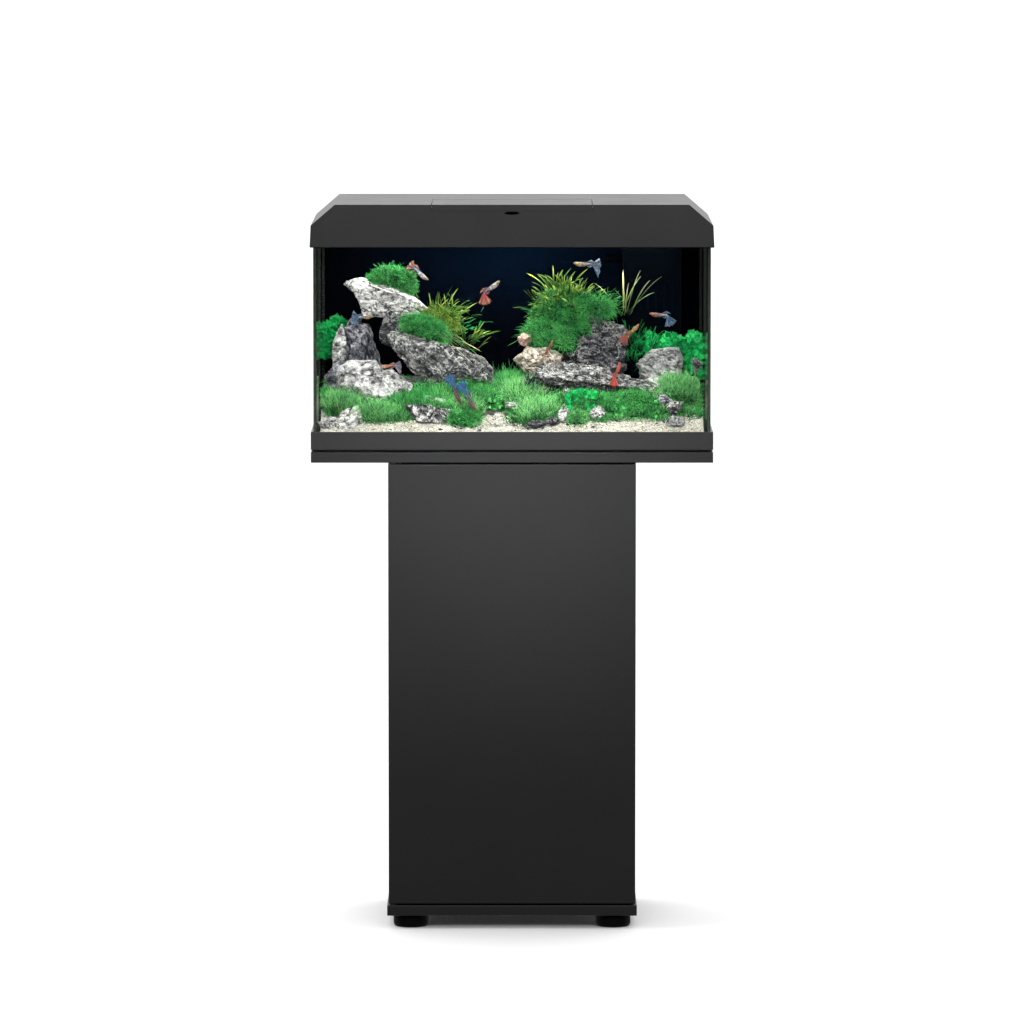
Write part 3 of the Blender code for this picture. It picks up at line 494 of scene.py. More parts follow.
def strips(name, roots, aims, lengths, widths, finish, rng, own, droop=0.2, segments=3, fold=0.0, shape=1.4,
           core=None):
    """Many tapering leaves as one mesh. Each starts at its root along its aim and droops over its length.
    widths is one number or one for each leaf, own is each leaf's shade, 0 to 1, and core a mound under them, painted
    dark as shade."""
    count = len(roots)
    aims = aims / np.linalg.norm(aims, axis=1, keepdims=True)
    sides = np.cross(aims, rng.normal(size=(count, 3)))
    sides /= np.linalg.norm(sides, axis=1, keepdims=True)
    up = np.cross(sides, aims)
    across = 3 if fold else 2
    rows, shades = [], []
    for step in range(segments + 1):
        t = step / segments
        middle = roots + aims * (lengths * t)[:, None]
        middle[:, 2] -= droop * lengths * t * t
        swell = (0.55 + 0.9 * t) * (1 - t ** (2.2 * shape)) + 0.04
        wide = np.reshape(widths / 2 * swell, (-1, 1))
        edge = [middle - sides * wide, middle + sides * wide]
        if fold:
            edge.insert(1, middle - up * wide * fold)
        rows.append(np.stack(edge, 1))
        shades.append(np.repeat(np.stack([own, np.full(count, t), own * 0, own * 0 + 1], 1)[:, None], across, 1))
    verts = np.stack(rows, 1).reshape(-1, 3)
    colours = np.stack(shades, 1).reshape(-1, 4)
    per_leaf = across * (segments + 1)
    pattern = np.array(quads(segments + 1, across))
    faces = (pattern[None] + (np.arange(count) * per_leaf)[:, None, None]).reshape(-1, 4).tolist()
    if core:
        faces += moved(core[1], len(verts))
        # Painted shade: the core takes a near-black tint, the leaves' root colour, filling the gaps under them.
        dark = np.tile((0.1, 0.05, 0.0, 1.0), (len(core[0]), 1))
        verts, colours = np.vstack([verts, core[0]]), np.vstack([colours, dark])
    return link_mesh(name, verts, faces, finish, tint=colours)


def lumpy(directions, lumps, seed):
    return np.array([1 + lumps * fractal(Vector(d) * 2.3, 3, seed) for d in directions])


def moss(name, centre, radii, finish, clumps, seed, lean=0, length=0.010, width=0.0008, up=0.60, loose=0.75,
         patch=0.0040, lumps=0.55, droop=0.25, lift=-0.15):
    """A cushion of moss: clumps of fine leaves, each with its own lean and shade, over a lumpy core painted dark as
    shade.
    """
    rng = np.random.default_rng(seed)
    ways = rng.normal(size=(clumps * 4, 3))
    ways /= np.linalg.norm(ways, axis=1, keepdims=True)
    ways = ways[ways[:, 2] > lift][:clumps]
    swell = lumpy(ways, lumps, seed)[:, None]
    turn, middle = turn_matrix((0, lean, 0)), np.array(centre)
    heads = (ways * swell * np.array(radii)) @ turn.T + middle
    outward = (ways / np.array(radii)) @ turn.T
    outward /= np.linalg.norm(outward, axis=1, keepdims=True)
    leans = outward * 0.9 + np.array((0, 0, up)) + rng.normal(size=outward.shape) * 0.28
    which = rng.integers(0, len(heads), len(heads) * LEAVES_PER_CLUMP)
    spread = rng.normal(size=(len(which), 3)) * patch
    spread -= outward[which] * (spread * outward[which]).sum(1, keepdims=True) * 0.8
    roots = heads[which] + spread - outward[which] * 0.002
    aims = leans[which] + rng.normal(size=roots.shape) * loose + spread / patch * 0.16
    wall = SUBSTRATE_HIGH.x - 0.010
    near_wall = np.clip(np.abs(roots[:, 0]) - wall + 0.018, 0, 1)
    aims[:, 0] -= np.sign(roots[:, 0]) * near_wall * 50
    roots[:, 0] = np.clip(roots[:, 0], -wall, wall)
    tall = rng.uniform(0.55, 1.25, len(heads))[which] * rng.uniform(0.55, 1.15, len(which)) * length
    tall *= np.where(rng.random(len(which)) < 0.06, rng.uniform(1.3, 2.1, len(which)), 1.0)
    own = rng.uniform(0, 1, len(heads))[which] + rng.normal(size=len(which)) * 0.12
    ball, ball_faces = unit_sphere(5)
    core = (ball * lumpy(ball, lumps, seed)[:, None] * np.array(radii) * 0.93) @ turn.T + middle
    return strips(name, roots, aims, tall, width, finish, rng, np.clip(own, 0, 1), droop, core=(core, ball_faces))


def inside(x, y, outline):
    """Whether a point lies inside an outline of (x, y) corners."""
    crossings = 0
    for (ax, ay), (bx, by) in zip(outline, outline[1:] + outline[:1]):
        if (ay > y) != (by > y) and x < (bx - ax) * (y - ay) / (by - ay) + ax:
            crossings += 1
    return crossings % 2 == 1


def lawn(name, outline, finish, clumps, seed, length):
    """Tufts of short grass on the sand inside an outline, in drifts that leave a few bare places."""
    rng, patch = np.random.default_rng(seed), 0.0050
    low, high = np.min(outline, 0), np.max(outline, 0)
    heads, heights = [], []
    while len(heads) < clumps:
        x, y = rng.uniform(low[0], high[0]), rng.uniform(low[1], high[1])
        drift = noise.noise(Vector((x * 32, y * 32, seed))) + 0.5 * noise.noise(Vector((x * 80, y * 80, seed)))
        if drift > -0.35 and inside(x, y, outline):
            heads.append((x, y))
            heights.append(0.75 + 0.8 * drift)
    heads, heights = np.array(heads), np.clip(np.array(heights), 0.35, 1.5)
    which = rng.integers(0, clumps, clumps * BLADES_PER_TUFT)
    flat = heads[which] + rng.normal(size=(len(which), 2)) * patch
    flat = np.clip(flat, (SUBSTRATE_LOW.x + 0.003, SUBSTRATE_LOW.y + 0.004), (SUBSTRATE_HIGH.x - 0.003, 0.14))
    roots = np.array([(x, y, ground(x, y) - 0.001) for x, y in flat])
    leans = rng.normal(size=(clumps, 3)) * 0.30
    aims = leans[which] + rng.normal(size=roots.shape) * 0.50 + np.array((0, -0.18, 1.0))
    aims[:, :2] += (flat - heads[which]) / patch * 0.16
    tall = length * heights[which] * rng.uniform(0.5, 1.2, len(which))
    own = rng.uniform(0, 1, clumps)[which] + rng.normal(size=len(which)) * 0.12
    return strips(name, roots, aims, tall, 0.0009, finish, rng, np.clip(own, 0, 1))


def tuft(name, root, reach, finish, count, seed, length, width, spread, lean, droop=0.25, fold=0.35, segments=5):
    """A clump of longer leaves that fan out from around one root."""
    rng = np.random.default_rng(seed)
    roots = np.array(root) + rng.normal(size=(count, 3)) * np.array(reach)
    aims = np.array(lean) + rng.normal(size=(count, 3)) * np.array((spread, spread * 0.7, spread * 0.35))
    aims[:, 0] += (roots[:, 0] - root[0]) / max(reach[0], 0.001) * 0.25
    lengths = length * rng.uniform(0.45, 1.2, count)
    widths = width * rng.uniform(0.6, 1.15, count)
    own = rng.uniform(0, 1, count)
    return strips(name, roots, aims, lengths, widths, finish, rng, own, droop, segments, fold, 1.0)


def leafy(name, centre, half, finish, count, seed, size):
    """A bank of round lobed leaves that face the front."""
    rng, lobes, around = np.random.default_rng(seed), 5, 15
    verts, faces, colours = [], [], []
    for _ in range(count):
        place = np.array(centre) + rng.uniform(-1, 1, 3) * np.array(half)
        place[2] += 0.18 * half[2] * math.sin(place[0] * 180 + seed)
        normal = Vector(np.array((0, -1, 0.45)) + rng.normal(size=3) * 0.62).normalized()
        turn = normal.to_track_quat("Z", "Y").to_matrix() @ Matrix.Rotation(rng.uniform(0, 6.28), 3, "Z")
        own, radius, start = rng.uniform(0, 1), size * rng.uniform(0.55, 1.1), len(verts)
        verts.append(Vector(place) - normal * radius * 0.18)
        # Painted shade: the rim, and the centre less so, take more of the dark root colour than the lit middle ring.
        colours.append((own, 0.65, 0, 1))
        for share, along in ((0.55, 0.9), (1.0, 0.45)):
            for k in range(around):
                angle = 2 * math.pi * k / around
                edge = radius * share * (1 + 0.24 * math.cos(lobes * angle) * share)
                dish = radius * 0.10 * math.sin(3 * angle) * share
                verts.append(Vector(place) + turn @ Vector((edge * math.cos(angle), edge * math.sin(angle), dish)))
                colours.append((own, along, 0, 1))
        for k in range(around):
            inner, following = start + 1 + k, start + 1 + (k + 1) % around
            faces += [(start, inner, following), (inner, inner + around, following + around, following)]
    return link_mesh(name, verts, faces, finish, tint=colours)


# ---- fish


def fish_skin(name, colours, spots):
    """Colours of one guppy from nose to tail edge. Marks holds the way along it in red, up it in green and 1 on
    the fins in blue."""
    f = Finish(name, colours[1], 0.34, specular=0.4)
    marks = f.attribute("marks", "Color")
    along, up, fin = (f.axis(axis, marks) for axis in "XYZ")
    body = f.ramp(along, list(zip((0.04, 0.30, 0.56, 0.70, 0.97), colours)))
    back = f.times(f.spread(up, 0.0, 0.75, 0.62, 1.0), f.maths("SUBTRACT", 1.0, fin))
    body = f.blend(back, body, tuple(0.18 * c + 0.01 for c in colours[2]))
    body = f.blend(f.spread(f.noise(16.0, 3.0), 0.0, 0.80, 0.47, 0.56), body, spots)
    lanes = f.add("ShaderNodeCombineXYZ", {"X": along, "Y": up}).outputs["Vector"]
    rays = f.spread(f.noise(1.0, 3.0, place=f.stretched((3.0, 22.0, 1.0), lanes)), 0.0, 0.75, 0.46, 0.62)
    f.link(f.blend(f.times(fin, rays), body, tuple(0.12 * c + 0.003 for c in colours[3])), "Base Color")
    f.set("Coat Weight", 0.15)
    f.bump(f.cells(42.0), 0.25, 0.01)
    return f


def between(value, pairs):
    """The smooth curve through (place, height) pairs, read at value."""
    for (a, low), (b, high) in zip(pairs, pairs[1:]):
        if value <= b:
            share = (value - a) / (b - a)
            return low + (high - low) * share * share * (3 - 2 * share)
    return pairs[-1][1]


def guppy(name, place, length, pitch, turn, finish, eye_finish, above, below, sweep, tail, seed, bend):
    """A guppy about one unit long from nose to tail edge: lofted body, veil tail, back, belly and side fins, eyes.

    pitch lifts the nose and turn is about the upright axis, in degrees. above and below are how far the tail's edge
    reaches past its root, sweep swings the whole tail downwards, in degrees, and tail is its length."""
    verts, faces, marks = [], [], []
    depths = [(0.0, 0.010), (0.06, 0.034), (0.20, 0.064), (0.36, 0.078), (0.58, 0.062), (0.80, 0.036), (1.0, 0.030)]
    rings, around = 21, 16
    nose, tail_root = 0.50, -0.14
    for ring in range(rings):
        t = ring / (rings - 1)
        tall = between(t, depths)
        wide = tall * (0.62 - 0.30 * t)
        belly = -0.026 * math.sin(math.pi * min(t * 1.35, 1.0))
        for k in range(around):
            angle = 2 * math.pi * k / around
            verts.append((nose + (tail_root - nose) * t, wide * math.cos(angle), belly + tall * math.sin(angle)))
            marks.append((0.60 * t, 0.5 + 0.5 * math.sin(angle), 0.0, 1.0))
    for ring in range(rings - 1):
        for k in range(around):
            n = (k + 1) % around
            a, b = ring * around, (ring + 1) * around
            faces.append((a + k, a + n, b + n, b + k))
    faces.append(tuple(range(around)))
    faces.append(tuple((rings - 1) * around + k for k in reversed(range(around))))

    def fin(root, tips, columns, ripple, thickness=0.006, start_mark=0.66):
        """A closed thin sheet between a root line and a tip line, with ripples that grow towards its edge."""
        faces.extend(moved(closed_sheet(len(root), columns + 1), len(verts)))
        for side in (-1, 1):
            for i, (near, far) in enumerate(zip(root, tips)):
                for c in range(columns + 1):
                    s = c / columns
                    point = Vector(near).lerp(Vector(far), s)
                    wave = ripple * s * (math.sin(i * 1.3 + seed) + 0.6 * math.sin(i * 2.9))
                    verts.append((point.x, point.y + wave + side * thickness * (1 - 0.7 * s), point.z))
                    marks.append((start_mark + (1 - start_mark) * s, 1 - i / (len(root) - 1), 1.0, 1.0))

    count, swing, root, tips = 15, math.radians(sweep), [], []
    for i in range(count):
        share = 1 - 2 * i / (count - 1)
        root.append((tail_root + 0.010, 0, -0.004 + 0.027 * share))
        high = (above if share > 0 else below) * share
        edge = tail * (1.0 - 0.24 * share * share) + 0.020 * math.cos(i * 1.9 + seed)
        tips.append((tail_root - edge * math.cos(swing) - high * math.sin(swing), 0,
                     high * math.cos(swing) - edge * math.sin(swing)))
    fin(root, tips, 8, 0.026, start_mark=0.60)
    dorsal = [(0.06 - 0.14 * i / 6, 0, 0.060 - 0.014 * i / 6) for i in range(7)]
    fin(dorsal, [(x - 0.15 - 0.03 * i / 6, 0, z + 0.080 - 0.010 * i) for i, (x, _, z) in enumerate(dorsal)], 5, 0.012)
    anal = [(0.04 - 0.09 * i / 4, 0, -0.086 + 0.010 * i) for i in range(5)]
    fin(anal, [(x - 0.09, 0, z - 0.050 + 0.008 * i) for i, (x, _, z) in enumerate(anal)], 3, 0.006)
    for side in (-1, 1):
        root = [(0.25 - 0.03 * i / 3, side * 0.036, -0.008 - 0.012 * i) for i in range(4)]
        tips = [(x - 0.10, y + side * 0.045, z - 0.015 - 0.014 * i) for i, (x, y, z) in enumerate(root)]
        fin(root, tips, 3, 0.004, 0.003, 0.45)
    curved = [(x, y + bend * (x - 0.1) ** 2 * (1 if x < 0.1 else 0.3), z) for x, y, z in verts]
    ball, ball_faces = unit_sphere(2)
    eyes = [(0.425 + 0.020 * x, side * 0.026 + 0.010 * y, 0.008 + 0.020 * z) for side in (-1, 1) for x, y, z in ball]
    placed = Matrix.Translation(place) @ Matrix.Rotation(math.radians(turn), 4, "Z")
    placed @= Matrix.Rotation(math.radians(-pitch), 4, "Y") @ Matrix.Scale(length, 4)
    for piece in (link_mesh(name, curved, faces, finish, marks=marks),
                  link_mesh(f"{name}_eyes", eyes, ball_faces + moved(ball_faces, len(ball)), eye_finish)):
        piece.matrix_world = placed
        in_tank(piece)


def eye_glaze():
    f = Finish("fish_eye", (0.01, 0.01, 0.01), 0.08, specular=0.8)
    out = f.spread(f.size_of(f.axis("Y")), 0.0, 1.0, 0.016, 0.038)
    f.link(f.ramp(out, [(0.55, (0.75, 0.70, 0.45)), (0.72, (0.008, 0.008, 0.01))]), "Base Color")
    return f


# ---- the CAD pieces' finishes


def finish_frame():
    """Better materials in the slots of the CAD pieces that keep their own shape, by the starts of their names."""
    finishes = {stem: finish for finish, stems in (
        (laminate(), "base_board top_board left_side_panel right_side_panel back_panel shelf door"),
        (hood_plastic(), "hood_shell feeding_flap"),
        (moulded("frame_satin_black", (0.0100, 0.0100, 0.0103), 0.42, 0.40), "tank_base_frame tank_rim"),
        (moulded("foot_black", (0.003, 0.003, 0.003), 0.70, 0.05), "latch_housing latch_plunger foot cable_grommet"),
        (moulded("filter_black", (0.0006, 0.0011, 0.0018), 0.70, 0.0),
         "filter_housing pump_body pump_cover pump_riser pump_nozzle heater_knob"),
        (moulded("nylon_black", (0.012, 0.012, 0.012), 0.45), "door_bush"),
        (moulded("impeller_white", (0.60, 0.60, 0.58), 0.40), "pump_impeller"),
        (metal("steel_brushed", (0.55, 0.55, 0.56), 0.32),
         "door_pin shelf_pin latch_strike_plate flap_hinge_rod led_hanger"),
        (metal("aluminium_brushed", (0.72, 0.73, 0.74), 0.34), "led_rail"),
        (pane_glass("X"), "left_pane right_pane"), (pane_glass("Y"), "front_pane back_pane"),
        (pane_glass("Z"), "bottom_pane"), (seam_silicone(), "silicone_seam"), (backdrop(), "backdrop_film"),
        (diffuser(), "led_diffuser"), (sponge_foam(), "sponge"), (smoked_glass(), "heater_tube"),
    ) for stem in stems.split()}
    for node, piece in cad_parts.items():
        stems = [stem for stem in finishes if node.startswith(stem)]
        if stems:
            piece.data.materials.clear()
            piece.data.materials.append(finishes[max(stems, key=len)].material)


# ---- sand


def sand_bed():
    """The gravel bed as a closed block with a rippled top and a skirt down to the glass. It is hollowed out inside
    the filter box, where the impeller turns."""
    low, high = SUBSTRATE_LOW, SUBSTRATE_HIGH
    across, deep, verts = 340, 170, []
    (filter_low, filter_high), wall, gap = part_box("filter_housing"), 0.0012, 0.0005
    for j in range(deep + 1):
        y = low.y + (high.y - low.y) * j / deep
        for i in range(across + 1):
            x = low.x + (high.x - low.x) * i / across
            grain = 0.0011 * noise.noise(Vector((x * 420, y * 420, 3.0)))
            grain += 0.0006 * noise.noise(Vector((x * 900, y * 900, 8.0)))
            height = ground(x, y) + grain
            if filter_low.x + wall < x < filter_high.x - wall and y > filter_low.y + wall:
                height = min(height, filter_low.z - gap)
            verts.append((x, y, height))
    faces, edge, start = quads(deep + 1, across + 1), grid_edge(deep + 1, across + 1), len(verts)
    verts += [(verts[k][0], verts[k][1], low.z) for k in edge]
    for k in range(len(edge)):
        n = (k + 1) % len(edge)
        faces.append((edge[n], edge[k], start + k, start + n))
    faces.append(tuple(start + k for k in reversed(range(len(edge)))))
    in_tank(link_mesh("sand_bed", verts, faces, sand_grains()), "sand", "substrate")


def pebbles(name, count, seed, finish, low_size, high_size):
    """Loose grains and small stones scattered on the sand, most of them near the front path."""
    rng = random.Random(seed)
    ball, ball_faces = unit_sphere(2)
    verts, faces, tones = [], [], []
    for index in range(count):
        y = rng.uniform(-0.138, 0.05)
        x = 0.045 - 0.28 * (y + 0.14) + rng.gauss(0, 0.075)
        if abs(x) > 0.285:
            continue
        size = low_size + (high_size - low_size) * rng.random() ** 3
        half = np.array((size * rng.uniform(0.8, 1.4), size * rng.uniform(0.7, 1.2), size * rng.uniform(0.4, 0.8)))
        wobble = np.array([1 + 0.22 * noise.noise(Vector(v) * 1.6 + Vector((index, 0, 0))) for v in ball])
        shaped = ball * wobble[:, None] * half
        shaped = shaped @ turn_matrix((rng.uniform(-20, 20), rng.uniform(-20, 20), rng.uniform(0, 360))).T
        faces += moved(ball_faces, len(verts))
        verts += [tuple(v) for v in shaped + np.array((x, y, ground(x, y) + 0.15 * half[2]))]
        tones += [(rng.random(),) * 3 + (1,)] * len(ball)
    in_tank(link_mesh(name, verts, faces, finish, relief=tones), "sand")


# ---- what stands in the tank


def loose_stone(name, centre, half, seed, finish, lean):
    turn = seed * 17 % 60
    return rock(name, centre, half, seed, finish, (0, lean, turn), chip=0.75 * max(half), depth=0.11 * min(half))


def rockwork():
    """Left: a cap stone on a leaning slab over faceted stones. Right: a dark layered core on a ledge. A row has a
    stone's middle, half sizes, seed and finish, and an outline is in x and z, in millimetres."""
    grey = rock_stone("stone_grey", (0.005, 0.006, 0.007), (0.056, 0.058, 0.057), (0.38, 0.38, 0.355))
    pale = rock_stone("stone_pale", (0.026, 0.026, 0.030), (0.215, 0.217, 0.21), (0.60, 0.595, 0.56))
    chalk = rock_stone("stone_chalk", (0.050, 0.050, 0.052), (0.54, 0.54, 0.51), (0.88, 0.87, 0.82))
    ashen = rock_stone("stone_ashen", (0.026, 0.028, 0.030), (0.16, 0.165, 0.16), (0.36, 0.36, 0.34), 0.3)
    dark = rock_stone("stone_dark", (0.003, 0.004, 0.006), (0.021, 0.022, 0.025), (0.165, 0.165, 0.158), 0.3)
    dusky = rock_stone("stone_dusky", (0.010, 0.010, 0.015), (0.095, 0.096, 0.110), (0.38, 0.38, 0.41), 0.2)
    beige = rock_stone("stone_beige", (0.036, 0.030, 0.022), (0.30, 0.265, 0.205), (0.66, 0.62, 0.53), 0.4)
    pink = rock_stone("stone_pink", (0.05, 0.022, 0.016), (0.26, 0.16, 0.12), (0.52, 0.40, 0.33), 0.2)
    cap = [(62, -18), (41, -1), (20, 11), (-21, 24.5), (-42, 30), (-54, 28), (-59, 16), (-47, -4), (-40, -30),
           (6, -30), (52, -31)]
    slab = [(78, -16), (60, 2), (33, 15), (0, 24), (-32, 33), (-57, 41), (-80, 42), (-84, 26), (-66, 1), (-43, -21),
            (-18, -36), (5, -37), (33, -27), (55, -34), (75, -36)]
    block = [(55, -2), (34, 16), (21, 12), (9, 30), (-32, 28), (-44, 19), (-51, 2), (-48, -12), (-34, -26), (-12, -34),
             (16, -36), (34, -36), (50, -26)]
    boulder = [(34, 5), (28, 23), (-14, 21), (-38, -2), (-34, -24), (-10, -32), (20, -32), (31, -20)]
    standing = [
        ("left_cap", "cap_stone", (-190, 45, 953), (58, 36, 28), 31, chalk,
         dict(chip=0.020, depth=0.0028, flat=2.4, outline=cap)),
        ("left_back", "back_stone", (-232, 56, 846), (31, 36, 74), 22, dusky,
         dict(tilt=(0, -4, 20), chip=0.024, grain=(1.0, 0.1, 0.5))),
        ("left_slab", "leaning_slab", (-106, -30, 862), (82, 36, 34), 7, grey,
         dict(grain=(0.5, 0.1, 0.9), chip=0.018, depth=0.0040, flat=1.6, outline=slab)),
        ("left_front", "faceted_stone", (-218, -60, 833), (52, 36, 28), 14, pale,
         dict(facets=9, chip=0.026, depth=0.0028, flat=1.4, outline=block)),
        ("left_middle", "buried_stone", (-108, 0, 798), (70, 50, 36), 5, dark, dict(detail=6)),
        ("right_core", "core_stone", (128, 12, 862), (48, 38, 70), 44, dark,
         dict(tilt=(0, 6, 10), chip=0.022, depth=0.0048, flat=3.4)),
        ("right_ledge", "ledge_stone", (133, -70, 834), (97, 30, 21), 12, grey,
         dict(tilt=(0, 3, 4), chip=0.020, depth=0.0044, flat=3.6)),
        ("right_boulder", "boulder_stone", (229, 0, 855), (36, 34, 30), 9, ashen,
         dict(chip=0.026, depth=0.0022, flat=3.0, outline=boulder)),
    ]
    for node, name, centre, half, seed, finish, shape in standing:
        shape.setdefault("detail", 7)
        in_tank(rock(name, mm(*centre), mm(*half), seed, finish, **shape), "rock", f"rock_{node}")
    place_all(loose_stone, "rock", [
        ("cap_tip_stone", (-246.5, 45, 970), (11, 12, 11), 3, pale, 0),
        # Painted shade: the slab's shoulder takes the dark stone finish because it stands in shadow.
        ("slab_shoulder", (-178, -12, 896), (22, 24, 36), 37, dark, -28),
        ("spire_stone", (-267, 30, 872), (12, 13, 40), 6, pale, 0),
        ("spire_foot_stone", (-262, 20, 825), (24, 24, 35), 26, dusky, 0),
        ("pale_small_stone", (-166, -75, 822), (15, 14, 13), 8, pale, 0),
        ("corner_stone", (-280, -124, 770), (17, 12, 12), 4, pale, 10),
        ("front_peak_stone", (-248, -114, 774), (30, 18, 19), 17, pale, -20),
        ("front_flat_stone", (-128, -112, 785), (38, 20, 14), 18, grey, 6),
        ("front_thin_stone", (-112, -92, 802), (24, 14, 7), 19, pale, 16),
        ("pink_stone", (20, -40, 892), (11, 11, 11), 21, pink, 0),
        ("beige_left_stone", (28, -46, 862), (24, 20, 21), 23, beige, 0),
        ("beige_right_stone", (62, -46, 864), (25, 19, 15), 24, beige, 12),
        ("beige_under_stone", (40, -40, 828), (34, 26, 26), 25, dark, 0),
        ("boulder_foot_stone", (216, -50, 829), (22, 15, 8), 27, pale, 0),
        ("right_upright_stone", (83, -94, 805), (15, 13, 21), 28, grey, 0),
        ("right_white_stone", (130, -112, 788), (13, 10, 11), 29, pale, 0),
        ("right_side_stone", (248, -112, 794), (15, 12, 12), 30, grey, -10),
        ("right_ledge_stone", (232, -104, 806), (12, 12, 9), 38, dusky, 12),
        ("right_front_stone", (250, -126, 774), (17, 12, 9), 33, ashen, 3),
        ("right_low_stone", (80, -118, 784), (10, 9, 12), 39, pale, -20),
        ("sand_dark_stone_a", (36, -128, 770), (18, 11, 7), 34, dark, 4),
        ("sand_dark_stone_b", (63, -122, 776), (14, 11, 6), 35, dark, -5),
        ("path_pale_stone", (6, -90, 796), (17, 11, 5), 36, pale, 3),
        ("right_edge_stone", (283, -30, 852), (8, 12, 13), 40, grey, 0),
    ])
    pebbles("sand_pebbles", 420, 61, grey, 0.0007, 0.0036)
    pebbles("pale_pebbles", 520, 62, pale, 0.0006, 0.0028)


